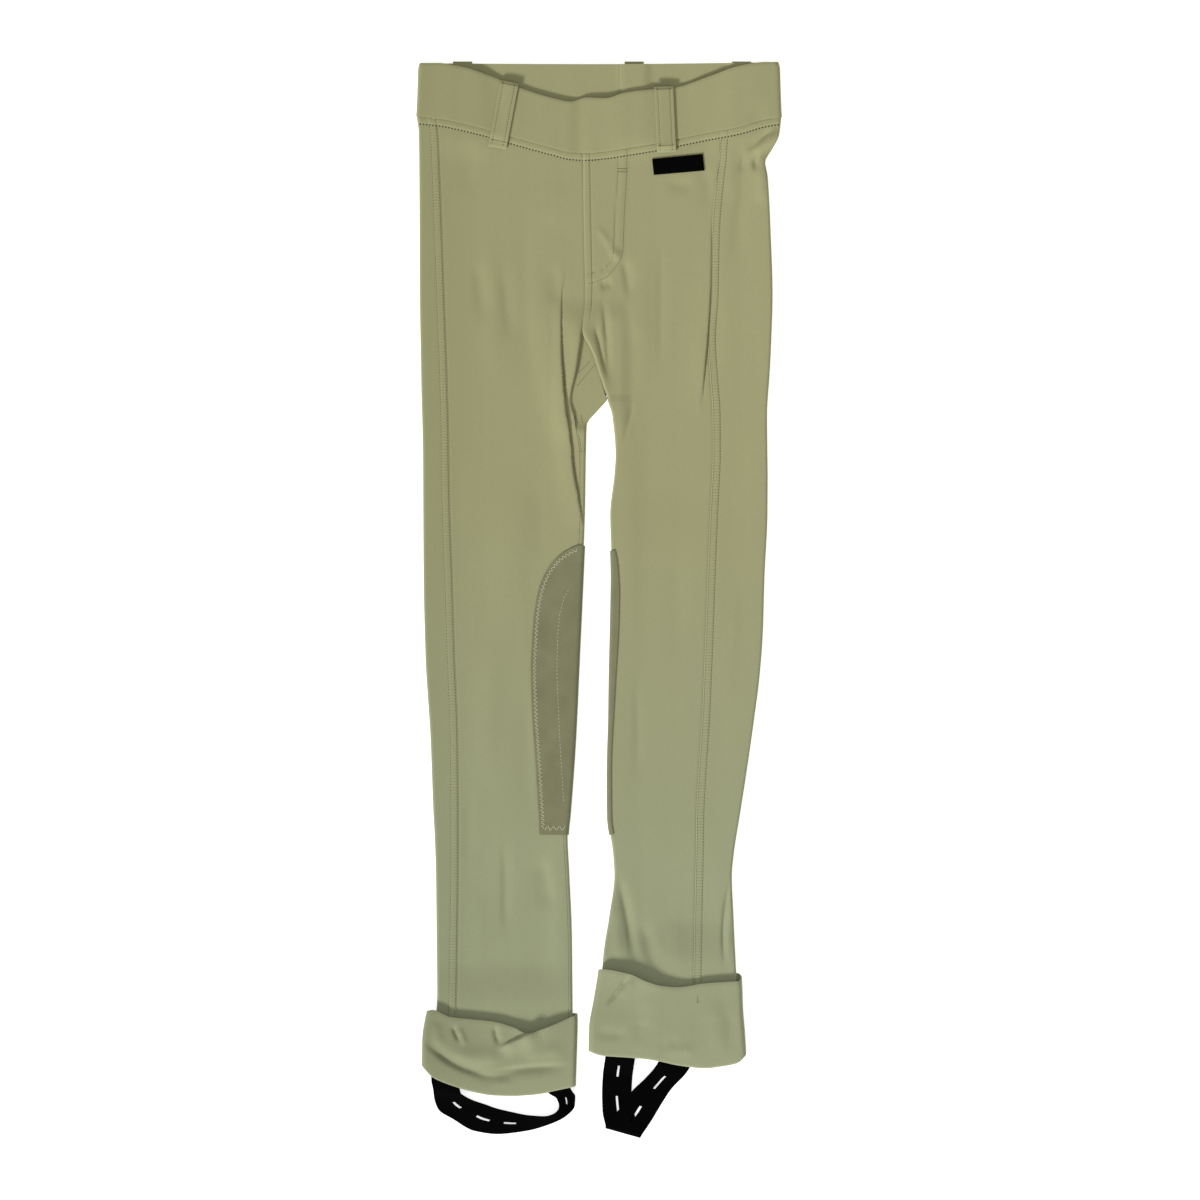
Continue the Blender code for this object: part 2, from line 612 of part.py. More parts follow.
def waistband():
    """One strip round the waist, its ends meeting in the middle of the back."""
    points = []
    radius = BAND_ROOM / 2
    shares = (0.0, 0.34, 0.67, 1.0)
    for share in shares:
        strip = []
        side = float(table_at(BAND_SIDE, 1, WAIST_SEAM + 45.0 * share))
        flat = side - radius
        for x in back_columns(BACK_SEAM_TOP + GAP / 2, flat):
            strip.append((x, False, 0.0))
        for angle in (-45.0, 0.0, 45.0):
            strip.append((side - radius * (1 - math.cos(math.radians(angle))), None, angle))
        for x in np.linspace(flat, -flat, 25):
            strip.append((x, True, 0.0))
        for angle in (45.0, 0.0, -45.0):
            strip.append((-side + radius * (1 - math.cos(math.radians(angle))), None, angle))
        for x in back_columns(-flat, BACK_SEAM_TOP - GAP / 2):
            strip.append((x, False, 0.0))
        for x, on_front, angle in strip:
            low_y = float(table_at(FRONT_BAND, 1, x)) if on_front or on_front is None else WAIST_SEAM
            top_y = float(table_at(FRONT_BAND, 2, x)) if on_front else float(table_at(BACK_BAND_TOP, 1, x))
            y = low_y + WAIST_GAP / 2 + (top_y - low_y - WAIST_GAP / 2) * share
            if on_front is None:
                z = float(band_height(x, y, False)) + radius * (1 + math.sin(math.radians(angle)))
            else:
                z = float(band_height(x, y, on_front))
            points.append((x, y, z))
    width = len(points) // len(shares)
    return add_sheet("waistband", points, grid_faces(len(shares), width), BAND_CLOTH, "waistband cloth")


def cuff(leg):
    """Turned-up hem: down outside the leg, round the bottom fold and up inside to the panels."""
    around = cuff_stations()
    outside = (0.0, 0.2, 0.42, 0.64, 0.85, 1.0)
    points = []
    for share in outside:
        points += [cuff_point(leg, where, share, 0.0, 0.0) for where in around]
    fold = PLY / 2
    for angle in (60.0, 120.0, 180.0):
        turn = math.radians(angle)
        inset = fold * (1 - math.cos(turn))
        points += [cuff_point(leg, where, 1.0, inset, -fold * math.sin(turn)) for where in around]
    points += [cuff_point(leg, where, 1.0, PLY, HEM_TURN - GAP) for where in around]
    faces = grid_faces(len(outside) + 4, len(around), closed=True)
    return add_sheet(f"cuff_{leg.side}", points, faces, CLOTH, "olive stretch cloth")


def cuff_stations():
    """Places round a cuff: a share across the front, round one side, the back and the other side."""
    across = np.linspace(0.0, 1.0, 12)
    front = [("front", float(share)) for share in across]
    back = [("back", 1.0 - float(share)) for share in across]
    right_side = [("right", angle) for angle in (60.0, 20.0, -20.0, -60.0)]
    left_side = [("left", angle) for angle in (-60.0, -20.0, 20.0, 60.0)]
    return front + right_side + back + left_side


def cuff_point(leg, where, share, inset, drop):
    """A point of the cuff; inset moves it into the cuff and drop moves it along the leg."""
    place, value = where
    guess_y = leg.cuff_top - 6.0 + (leg.hem - HEM_TURN - leg.cuff_top) * share
    left = float(table_at(leg.cuff_sides, 1, guess_y)) + inset
    right = float(table_at(leg.cuff_sides, 2, guess_y)) - inset
    radius = (CUFF_FRONT - CLOTH / 2) / 2
    turn = math.radians(value)
    if place == "left":
        x = left + radius * (1 - math.cos(turn))
    elif place == "right":
        x = right - radius * (1 - math.cos(turn))
    else:
        x = left + radius + (right - left - 2 * radius) * value
    low_y = float(table_at(leg.cuff, 1, x))
    front_top = float(table_at(leg.cuff, 2, x))
    back_top = leg.cuff_top - 2.0 + (front_top - leg.cuff_top) * 0.2
    weight = {"front": 1.0, "back": 0.0}.get(place, (1 + math.sin(turn)) / 2)
    top_y = back_top + (front_top - back_top) * weight
    y = top_y + (low_y - top_y) * share + drop
    low = CLOTH / 2 + inset
    free = 0.0 if inset else 1.0 - share ** 4
    high = CUFF_FRONT - inset + free * (CUFF_LIFT + float(fold_height(f"{leg.side}_cuff", x, y)))
    if place == "back":
        return (x, y, low)
    if place == "front":
        return (x, y, high)
    return (x, y, low + (high - low) / 2 * (1 + math.sin(turn)))


def knee_patch(leg, columns=6):
    """Suede patch round the inner knee, made from the leg's own points moved out."""
    rows = [y for y in leg_rows(leg) if leg.patch[-1][0] <= y <= leg.patch[0][0]]
    points = []
    front_columns = columns if leg is RIGHT else 2
    under_columns = columns if leg is RIGHT else columns + 3
    for y in rows:
        edge = float(leg.inner(y))
        front = float(table_at(leg.patch, 1, y))
        under = float(table_at(leg.patch, 2, y))
        flat = edge - leg.inward * EDGE_RADIUS
        for share in np.linspace(1.0, 0.0, front_columns):
            x = flat - leg.inward * max(front - 2.0, 0.4) * share
            points.append((x, y, float(front_height(leg, x, y))))
        for angle in (45.0, 0.0, -45.0):
            points.append(edge_point(leg, edge, -leg.inward, y, angle))
        for share in np.linspace(0.0, 1.0, under_columns):
            x = flat - leg.inward * under * share
            points.append((x, y, float(back_height(leg, x, y))))
    width = len(points) // len(rows)
    faces = grid_faces(len(rows), width)
    middle = np.array(points)
    normals = sheet_normals(middle, faces)
    out = np.sign(normals[front_columns + 1, 0] * leg.inward)
    lift = CLOTH / 2 + GAP + PATCH_CLOTH / 2
    moved = middle + normals * out * lift
    moved[:, 1] = middle[:, 1]
    return add_sheet(f"knee_patch_{leg.side}", moved, faces, PATCH_CLOTH, "knee suede")


def front_belt_loop(name):
    """A loop sewn over the waistband, lying on it and on the panel just below."""
    top_x, top_y, low_x, low_y, width = FRONT_LOOPS[name]
    leg = RIGHT if top_x < 0 else LEFT
    along = np.array((low_x - top_x, low_y - top_y))
    length = float(np.linalg.norm(along))
    along = along / length
    across = np.array((-along[1], along[0]))
    points = []
    shares = (0.0, 0.03, 0.35, 0.68, 0.8, 0.88, 0.95, 1.0)
    for share in shares:
        for side in (-0.5, 0.0, 0.5):
            spot = np.array((top_x, top_y)) + along * length * share + across * side * width
            x, y = float(spot[0]), float(spot[1])
            on_band = float(smooth_step(y - table_at(FRONT_BAND, 1, x), -8.0, -0.5))
            band_top = float(band_height(x, y, True)) + BAND_CLOTH / 2
            leg_top = float(front_height(leg, x, y)) + CLOTH / 2
            z = leg_top + (band_top - leg_top) * on_band + GAP + 0.2 + LOOP_CLOTH / 2
            points.append((x, y, z))
    return add_sheet(name, points, grid_faces(len(shares), 3), LOOP_CLOTH, "waistband cloth")


def back_belt_loop(name):
    """A loop under the back of the waistband, with its end just over the top edge."""
    middle, width = BACK_LOOPS[name]
    points = []
    shares = (0.0, 0.5, 1.0)
    for share in shares:
        y = BACK_LOOP_TOP + (BACK_LOOP_FOOT - BACK_LOOP_TOP) * share
        for side in (-0.5, 0.5):
            points.append((middle + side * width, y, LOOP_CLOTH / 2))
    return add_sheet(name, points, grid_faces(len(shares), 2), LOOP_CLOTH, "waistband cloth")


def label():
    """Bare woven label sewn under the left front belt loop."""
    corners = np.array(LABEL_CORNERS)
    points = []
    for v in (0.0, 0.5, 1.0):
        for u in np.linspace(0.0, 1.0, 6):
            low = corners[0] + (corners[1] - corners[0]) * u
            high = corners[3] + (corners[2] - corners[3]) * u
            x, y = low + (high - low) * v
            z = float(front_height(LEFT, x, y)) + CLOTH / 2 + GAP + LABEL_CLOTH / 2
            points.append((float(x), float(y), z))
    return add_sheet("label", points, grid_faces(3, 6), LABEL_CLOTH, "black woven label")


def stirrup(name, table):
    """Elastic strap from inside one side of the hem, under the foot, to the other side."""
    points = []
    for x0, y0, x1, y1, z0, z1 in table:
        for share in (0.0, 0.5, 1.0):
            points.append((x0 + (x1 - x0) * share, y0 + (y1 - y0) * share, z0 + (z1 - z0) * share))
    return add_sheet(name, points, grid_faces(len(table), 3), ELASTIC, "black elastic")


def build():
    """Clears the scene and makes every piece."""
    for obj in list(bpy.data.objects):
        bpy.data.objects.remove(obj)
    for leg in (RIGHT, LEFT):
        front_panel(leg)
        back_panel(leg)
        cuff(leg)
        knee_patch(leg)
    waistband()
    for name in FRONT_LOOPS:
        front_belt_loop(name)
    for name in BACK_LOOPS:
        back_belt_loop(name)
    label()
    stirrup("stirrup_right", RIGHT_STIRRUP)
    stirrup("stirrup_left", LEFT_STIRRUP)


build()
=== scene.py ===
import math

import bpy
import numpy as np
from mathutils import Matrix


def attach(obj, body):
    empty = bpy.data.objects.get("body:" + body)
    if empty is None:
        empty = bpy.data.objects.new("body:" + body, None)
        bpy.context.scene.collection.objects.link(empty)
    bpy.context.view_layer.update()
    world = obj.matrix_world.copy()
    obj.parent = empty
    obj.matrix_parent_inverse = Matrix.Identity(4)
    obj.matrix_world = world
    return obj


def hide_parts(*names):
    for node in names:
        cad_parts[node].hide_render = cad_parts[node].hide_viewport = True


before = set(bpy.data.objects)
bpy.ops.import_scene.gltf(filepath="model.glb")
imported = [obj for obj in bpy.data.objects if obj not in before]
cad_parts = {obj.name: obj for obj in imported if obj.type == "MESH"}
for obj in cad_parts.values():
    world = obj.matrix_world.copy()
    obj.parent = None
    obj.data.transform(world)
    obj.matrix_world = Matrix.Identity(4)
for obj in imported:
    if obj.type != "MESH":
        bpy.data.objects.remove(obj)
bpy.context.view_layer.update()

# Lengths below are millimetres in the row frame: X to the wearer's left, Y
# towards the waist, Z up from the surface. MM turns them into metres.
MM = 0.001

# Sizes that the solids have too
CLOTH = 1.2
BAND_CLOTH = 2.2
PATCH_CLOTH = 0.8
LOOP_CLOTH = 1.2
LABEL_CLOTH = 0.6
ELASTIC = 1.5
GAP = 0.3
PLY = CLOTH + 0.4
EDGE_RADIUS = 1.5
SAG = 0.7
SAG_REACH = 28.0
BAND_ROOM = 3.4
CUFF_ROOM = 0.5
CUFF_LIFT = 1.8
TONGUE_RISE = 1.7
CUFF_FRONT = CLOTH / 2 + PLY + 2 * EDGE_RADIUS + CUFF_ROOM + PLY
WAIST_SEAM = 390.0
WAIST_BLEND = 100.0
CROTCH_LEFT = 164.5
CROTCH_RIGHT = 142.0
FRONT_JOIN = 226.0
HEM_TURN = 11.0
HEM_GAP = 1.0
BACK_SEAM_TOP = 16.5
CUFF_REACH = 40.0
PATCH_HOLD = 14.0
PATCH_MARGIN = 16.0
LOOP_MARGIN = 6.0
PATCH_SEAM = 3.2

# Sizes of the finish
ROLL_REACH = 1.6
ROLL_DROP = 0.3
SEAM_GAP = 0.06
SIDE_DROP = 0.16
ALLOWANCE = 6.4
ALLOWANCE_RISE = 0.28
WAIST_ALLOWANCE = 5.6
WAIST_RISE = 0.5
CUFF_GAPE = 3.4
TONGUE_REACH = 74.0
TONGUE_TUCK = 3.0
TONGUE_MIDDLE = -6.0
TONGUE_SIDES = (34.0, 22.0)
TONGUE_FOOT = (120.0, 150.0)
TONGUE_HEAD = (245.0, 225.0)
TONGUE_FAN = (141.0, 165.0)
TONGUE_UNDER = (134.0, 143.0)
CURL_FULL = 212.0
CURL_FOOT = (150.0, 162.0)
SOFT_MARGIN = 55.0
LOOP_SPREAD = 26.0

# Outline of each leg and its side seam: y, outer edge, inner edge, side seam
RIGHT_LEG = (
    (390, -147.0, 16.5, -132.0),
    (377, -145.4, 16.0, -130.0),
    (344, -145.0, 14.9, -128.5),
    (243, -144.5, 10.6, -124.8),
    (182, -143.5, 7.8, -122.6),
    (165, -143.2, 7.0, -122.2),
    (153, -142.8, -2.0, -121.8),
    (142, -142.5, -10.5, -121.5),
    (117, -142.0, -11.2, -121.2),
    (69, -141.8, -12.0, -120.3),
    (20, -141.5, -14.0, -118.5),
    (-45, -140.0, -17.0, -116.5),
    (-110, -136.0, -20.0, -114.0),
    (-174, -133.5, -24.5, -113.5),
    (-190, -132.6, -26.0, -113.5),
    (-223, -131.5, -24.5, -113.6),
    (-272, -131.0, -22.5, -114.2),
    (-324, -130.5, -22.0, -115.0),
    (-350, -133.5, -21.8, -116.5),
    (-390, -139.0, -21.5, -119.0),
)
LEFT_LEG = (
    (390, 147.0, 16.5, 98.5),
    (376, 145.2, 16.0, 97.8),
    (366, 140.0, 15.6, 97.0),
    (356, 134.0, 15.3, 96.5),
    (344, 136.0, 14.9, 95.0),
    (296, 138.5, 12.8, 91.0),
    (247, 140.0, 10.8, 90.0),
    (212, 139.0, 9.2, 87.8),
    (180, 137.4, 7.8, 89.6),
    (165, 136.2, 7.2, 90.8),
    (150, 135.5, 11.2, 91.6),
    (117, 135.8, 14.0, 91.8),
    (101, 136.0, 13.0, 91.2),
    (69, 135.8, 9.6, 89.6),
    (20, 133.5, 11.0, 87.6),
    (-28, 132.0, 10.2, 85.9),
    (-61, 129.5, 9.4, 84.6),
    (-93, 125.5, 9.0, 83.2),
    (-142, 118.5, 7.8, 80.0),
    (-174, 113.5, 8.0, 78.4),
    (-206, 108.5, 12.0, 78.0),
    (-223, 107.0, 13.0, 77.6),
    (-255, 108.3, 9.0, 77.0),
    (-288, 109.8, 4.0, 76.4),
    (-320, 111.5, 2.0, 76.0),
    (-372, 115.5, -4.0, 76.0),
)

# Inner edge of each front panel, from the waist downwards: y, x
RIGHT_FRONT_EDGE = (
    (390, -13.6), (292, -12.0), (251, -11.3), (236, -11.8), (228, -12.8), (219, -14.2),
    (210, -15.0), (199, -16.8), (188, -18.4), (179, -20.4), (170, -22.4), (162, -23.2), (154, -22.0),
    (149, -20.4), (137, -18.4), (118, -15.6), (69, -15.4), (20, -18.0), (-45, -21.0),
    (-110, -24.0), (-174, -28.0), (-190, -28.6), (-223, -27.0), (-272, -25.0),
    (-324, -24.5), (-390, -24.0),
)
LEFT_FRONT_EDGE = (
    (390, -13.6), (292, -12.0), (251, -11.3), (236, -11.8), (228, -12.8), (219, -13.6),
    (213, -11.8), (207, -8.2), (197, -3.6), (188, -0.8), (177, 2.8), (171, 4.6), (165, 7.4),
)
LEFT_UNDER_SEAM = (
    (165, 7.2), (158, 13.8), (145, 20.0), (125, 31.0), (100, 38.0), (60, 38.5), (0, 39.0),
    (-60, 38.0), (-110, 37.0), (-206, 38.0), (-255, 35.0), (-300, 31.0), (-372, 27.0),
)

# Waistband edges on the front: x, lower edge, upper edge
FRONT_BAND = (
    (-147.0, 391.0, 434.6), (-131.0, 389.4, 434.6), (-110.0, 385.2, 431.4),
    (-89.0, 380.0, 424.6), (-65.0, 373.0, 415.0), (-37.5, 365.6, 406.4),
    (-23.0, 362.0, 403.6), (-10.0, 361.4, 406.8), (5.0, 362.6, 406.2),
    (21.0, 365.0, 410.6), (45.5, 369.0, 413.6), (61.0, 372.2, 414.8),
    (88.5, 377.8, 423.6), (114.0, 382.6, 432.4), (135.0, 388.6, 435.4), (147.0, 390.6, 435.4),
)
BACK_BAND_TOP = ((-147.0, 434.6), (0.0, 434.0), (147.0, 435.4))
BAND_SIDE = ((390.0, 147.0), (400.0, 146.4), (418.0, 145.8), (430.0, 145.4), (436.0, 143.8))

# Cuff edges: x, lower edge, upper edge; and cuff sides: y, left edge, right edge
RIGHT_CUFF = (
    (-143.0, -376.0, -332.0), (-134.0, -385.2, -331.6), (-120.5, -391.0, -337.0),
    (-104.5, -396.0, -338.8), (-85.0, -399.6, -341.0), (-69.0, -400.0, -345.6),
    (-57.5, -399.4, -350.4), (-48.0, -398.4, -347.6), (-33.0, -395.2, -341.8), (-18.0, -392.2, -335.0),
)
LEFT_CUFF = (
    (-8.0, -364.0, -298.0), (2.5, -367.4, -298.4), (25.0, -369.0, -302.4), (38.0, -370.2, -308.2),
    (51.0, -372.4, -312.0), (64.0, -375.2, -313.0), (86.0, -377.6, -310.0), (100.0, -376.0, -309.0),
    (112.0, -373.4, -308.4), (119.0, -367.0, -309.0),
)
RIGHT_CUFF_SIDES = (
    (-332, -137.5, -18.4), (-344, -140.0, -17.8), (-370, -142.6, -18.4), (-402, -143.0, -19.4),
)
LEFT_CUFF_SIDES = (
    (-298, 0.8, 114.6), (-312, -1.0, 115.4), (-332, -4.0, 116.0), (-356, -7.4, 117.6), (-380, -8.0, 118.8),
)

# Folds on the front, set from the photograph: start, middle and end of a
# crease's curve, its height (a trough is below nought), and how far it reaches to
# the right and to the left of someone who walks along the curve. Most are walked
# downwards, so their right is the lower X
FOLD_COLUMNS = ("x0", "y0", "x1", "y1", "x2", "y2", "height", "right", "left")
FOLDS = {
    "right": (
        (-16, 236, -17, 200, -22, 152, 2.0, 7, 4),
        (-44, 262, -44, 200, -36, 130, 1.0, 10, 9),
        (-36, 272, -37, 255, -35, 238, -0.7, 6, 5),
        (-99, 277, -96, 250, -93, 222, -0.9, 5, 7),
        (-78, 277, -76, 240, -71, 205, -0.8, 4, 7),
        (-88, 300, -88, 240, -84, 170, 0.6, 8, 8),
        (-60, 330, -62, 250, -54, 150, -0.5, 9, 6),
        (-102, 372, -104, 350, -106, 325, -0.6, 8, 5),
        (-30, 340, -34, 320, -42, 300, 0.4, 9, 9),
        (-77, -192, -76, -235, -77, -278, -0.9, 2.2, 5),
        (-47, -206, -44, -226, -39, -254, -1.1, 9, 5),
        (-86, -20, -90, -90, -92, -160, 0.7, 10, 10),
        (-104, -150, -104, -185, -108, -215, -0.5, 6, 5),
        (-66, 120, -72, 40, -66, -40, 0.5, 14, 10),
        (-50, 100, -46, 60, -52, 30, -0.4, 6, 7),
        (-58, -60, -60, -120, -56, -180, -0.5, 8, 4),
        (-30, -200, -34, -260, -30, -320, 0.6, 8, 8),
        (-100, -230, -96, -270, -100, -315, 0.5, 9, 9),
    ),
    "left": (
        (-13, 228, -5, 200, 9, 155, 1.8, 4, 6),
        (-3.4, 223, 0.5, 206, 6.4, 178, -1.3, 1.6, 2.2),
        (2.3, 247, 7.5, 212, 7, 172, -1.5, 2.0, 3.5),
        (29, 164, 25, 145, 18, 124, -0.8, 2.2, 1.4),
        (9, 285, 13, 280, 18, 275, 1.5, 3.0, 2.6),
        (-3, 303, 5, 293, 13, 283, 0.6, 2.5, 2.5),
        (0, 253, 5, 257, 12, 258, -1.4, 3.0, 2.4),
        (18.6, 278, 22.5, 262, 25, 238, -1.3, 2.0, 5),
        (24, 262, 29, 235, 30, 205, 0.7, 5, 8),
        (50, 300, 50, 240, 49, 178, -0.5, 2.4, 4),
        (36, 290, 38, 230, 34, 160, 0.5, 8, 8),
        (98, 250, 95, 205, 92, 160, -0.5, 4, 5),
        (53, 339, 66, 334, 78, 336, -0.6, 5, 5),
        (84, 352, 90, 338, 88, 312, -0.5, 5, 5),
        (118, 363, 127, 370, 141, 383, -1.7, 2.6, 2.6),
        (122, 361, 134, 368, 146, 381, 1.7, 3.0, 3.0),
        (128, 357, 137, 363, 147, 374, -1.8, 2.6, 2.2),
        (127.6, 361, 126.4, 355, 126, 348, -2.0, 2.2, 2.6),
        (131, 354, 133, 338, 133, 318, 0.9, 5, 4),
        (122, 357, 112, 318, 108, 268, -0.7, 4, 8),
        (119, 364, 116, 356, 114, 345, -1.0, 2.4, 3),
        (104, 372, 108, 350, 106, 320, 0.6, 6, 5),
        (14, -218, 25, -262, 29.4, -302, -1.8, 3.0, 4.5),
        (9, -232, 15, -268, 18, -300, 1.0, 6, 5),
        (34, -258, 40, -280, 47, -306, -1.5, 5, 7),
        (62, -255, 62, -280, 64, -306, 0.6, 8, 8),
        (107.5, -224, 97, -258, 102, -300, -1.4, 1.6, 2.4),
        (110, -232, 103, -262, 106, -298, 0.8, 2.4, 3),
        (24, 140, 26, 60, 22, -40, 0.5, 8, 12),
        (62, 60, 64, 0, 62, -60, -0.4, 8, 8),
        (30, -60, 32, -110, 30, -150, -0.5, 3, 4),
        (112, 20, 106, -40, 104, -100, 0.5, 8, 6),
    ),
    "right_cuff": (
        (-83, -363.5, -66, -355.5, -48, -347, 3.6, 8, 0.9),
        (-144, -352, -118, -384, -80, -384.5, -3.2, 3.0, 5),
        (-92, -384.5, -62, -376, -20, -377, -2.6, 5.0, 2.2),
        (-104, -383, -86, -389, -64, -382, -1.8, 5, 2.5),
        (-126, -366, -98, -372, -72, -369, 1.7, 6, 8),
        (-62, -370, -44, -364, -24, -366, 1.1, 5, 7),
        (-119, -343, -117, -350, -112, -359, -1.9, 1.4, 2.0),
        (-113, -345, -112, -352, -107, -362, 1.2, 2.2, 2.2),
        (-84, -343, -85, -352, -80, -361, -1.8, 1.6, 2.4),
        (-132, -340, -132, -352, -126, -364, 0.8, 4, 4),
        (-88, -392, -80, -390, -70, -392, 0.7, 3, 3),
    ),
    "left_cuff": (
        (26, -301, 15, -316, 5, -328, -2.4, 1.2, 2.6),
        (28, -305, 22, -314, 14, -322, 0.9, 3, 4),
        (-4, -349, 8, -354, 24, -350, -1.2, 4, 5),
        (34, -338, 34, -348, 30, -360, -0.6, 5, 6),
        (52, -370, 66, -363, 80, -367, 1.2, 4, 5),
        (48, -366, 56, -358, 66, -356, -0.7, 4, 6),
        (92, -322, 98, -344, 92, -368, 0.9, 8, 7),
        (104, -330, 108, -350, 104, -370, -0.7, 4, 6),
        (40, -318, 44, -332, 42, -350, 0.5, 8, 8),
    ),
    "right_back": (
        (-70, 330, -74, 260, -60, 190, 0.4, 9, 9),
        (-60, -205, -66, -245, -64, -290, 0.4, 6, 8),
    ),
    "left_back": (
        (70, 330, 74, 260, 60, 190, 0.4, 9, 9),
    ),
}

# Sharp creases, where the cloth to the wearer's right stands over the cloth to
# the left and drops to it: y, x, drop
RIGHT_CREASE = (
    (268, -26.0, 0.0), (245, -30.5, 0.9), (219, -31.0, 2.0), (198, -30.5, 2.9), (172, -28.9, 3.4),
    (152, -26.9, 3.4), (130, -23.7, 3.2), (108, -21.4, 2.8),
    (85, -17.4, 2.2), (69, -14.6, 1.3), (58, -12.8, 0.0),
)
LEFT_CREASE = (
    (312, 91.6, 0.0), (296, 91.0, 0.5), (270, 90.7, 1.0), (247, 90.0, 1.5),
    (221, 88.3, 2.1), (206, 87.2, 2.2),
    (194, 86.0, 2.0), (170, 84.0, 0.9), (150, 82.8, 0.0),
)
CREASE_WIDTH = 0.3
CREASE_EAST = 4.5
CREASE_WEST = 13.0
CREASE_SLOT = 0.75

# Knee patches: y, reach over the front and reach under the leg, along the cloth
RIGHT_PATCH = (
    (44, 5, 14), (42, 10, 20), (36, 19.5, 27), (26, 28, 34), (14, 33.5, 38), (0, 36.5, 42),
    (-16, 38, 44), (-45, 38.5, 46), (-93, 35.5, 45), (-125, 31.5, 42), (-155, 27.5, 38), (-190, 22.5, 34),
)
LEFT_PATCH = (
    (40, 2.2, 26), (37, 3.4, 34), (30, 4.4, 44), (20, 5.2, 54), (4, 6.0, 62), (-16, 6.0, 66),
    (-45, 5.2, 68), (-70, 4.2, 68), (-98, 3.0, 66), (-125, 2.4, 62), (-155, 2.2, 58), (-190, 2.2, 54),
)

# Line of dashes down the right patch: x, y
PATCH_DASHES = (
    (-24.4, 9.0), (-28.2, 2.0), (-31.6, -10.5), (-33.2, -26.5), (-34.0, -58.5), (-32.6, -93.0),
    (-31.2, -120.0), (-29.6, -146.0), (-28.4, -165.0),
)

# Belt loops: x and y of the middle of the upper and lower ends, width
FRONT_LOOPS = {
    "belt_loop_front_right": (-72.4, 419.4, -82.4, 366.2, 15.0),
    "belt_loop_front_left": (52.2, 415.6, 54.6, 362.4, 15.6),
}
BACK_LOOPS = {
    "belt_loop_back_right": (-110.5, 15.5),
    "belt_loop_back_middle": (28.5, 15.5),
    "belt_loop_back_left": (115.5, 15.5),
}
BACK_LOOP_TOP = 435.65
BACK_LOOP_FOOT = 377.0
LABEL_CORNERS = ((44.4, 344.0), (85.4, 347.6), (84.0, 361.0), (43.0, 357.0))

# Stirrup elastics: x and y of one edge, x and y of the other, height of each
RIGHT_STIRRUP = (
    (-136.0, -379.0, -112.0, -383.0, 3.95, 3.95),
    (-135.8, -388.5, -113.0, -392.0, 3.95, 3.95),
    (-134.4, -396.0, -112.0, -398.6, 3.0, 4.0),
    (-133.4, -404.0, -106.5, -403.0, 1.2, 3.2),
    (-129.8, -413.0, -100.0, -405.8, 0.75, 2.2),
    (-118.0, -420.6, -92.0, -408.4, 0.75, 1.6),
    (-101.0, -430.0, -83.5, -411.4, 0.75, 1.8),
    (-82.0, -432.6, -72.0, -414.2, 0.75, 2.2),
    (-59.0, -430.0, -56.0, -417.2, 0.75, 3.0),
    (-41.5, -425.0, -44.0, -418.0, 0.9, 4.2),
    (-27.0, -418.0, -35.4, -415.2, 0.9, 4.6),
    (-19.8, -410.0, -32.4, -410.0, 0.9, 4.0),
    (-19.2, -402.0, -34.6, -403.4, 2.2, 4.0),
    (-22.8, -395.6, -41.0, -399.0, 3.95, 4.05),
    (-25.6, -383.0, -46.0, -386.0, 3.95, 3.95),
)
LEFT_STIRRUP = (
    (6.0, -355.0, 30.2, -356.0, 4.0, 4.0),
    (5.2, -368.4, 29.2, -370.0, 4.0, 4.0),
    (4.0, -377.0, 28.0, -379.0, 2.3, 2.3),
    (3.0, -385.0, 27.0, -387.0, 0.75, 0.75),
    (2.4, -400.0, 26.4, -400.0, 0.75, 0.75),
    (2.8, -414.0, 28.2, -413.0, 0.75, 0.75),
    (5.2, -425.6, 33.2, -433.4, 0.75, 0.75),
    (5.2, -427.0, 33.6, -435.0, 1.9, 1.9),
    (6.4, -425.4, 35.0, -432.6, 3.0, 3.0),
    (15.6, -413.0, 42.5, -421.5, 3.1, 3.1),
    (27.0, -397.2, 50.5, -408.0, 3.1, 3.1),
    (37.6, -387.0, 58.5, -396.0, 2.6, 2.6),
    (47.0, -375.6, 71.0, -382.4, 4.0, 4.0),
    (53.0, -362.0, 80.0, -366.0, 4.0, 4.0),
)

# The mock fly on the left front: inner and outer rows of its stitching
FLY_INNER = (
    (15.6, 364), (14.6, 334), (12.8, 312), (12.2, 286), (11.0, 276), (6.5, 270), (1.0, 266), (-9.6, 263.6),
)
FLY_OUTER = (
    (22.4, 365), (22.4, 345), (20.4, 313), (19.4, 284), (17.2, 274.5), (7.0, 261.5), (-2.0, 257.6),
    (-9.6, 255.6),
)

# Buttonholes cut in the stirrups: half their width as a share of the elastic's, and
# the rows of the stirrup's table that each starts and ends at
BUTTONHOLE_WIDTH = 0.034
RIGHT_HOLES = ((3.55, 4.35), (5.55, 6.2), (7.05, 7.5), (11.2, 12.0))
LEFT_HOLES = ((1.9, 3.0), (4.15, 5.1), (10.6, 11.5), (8.6, 9.5))

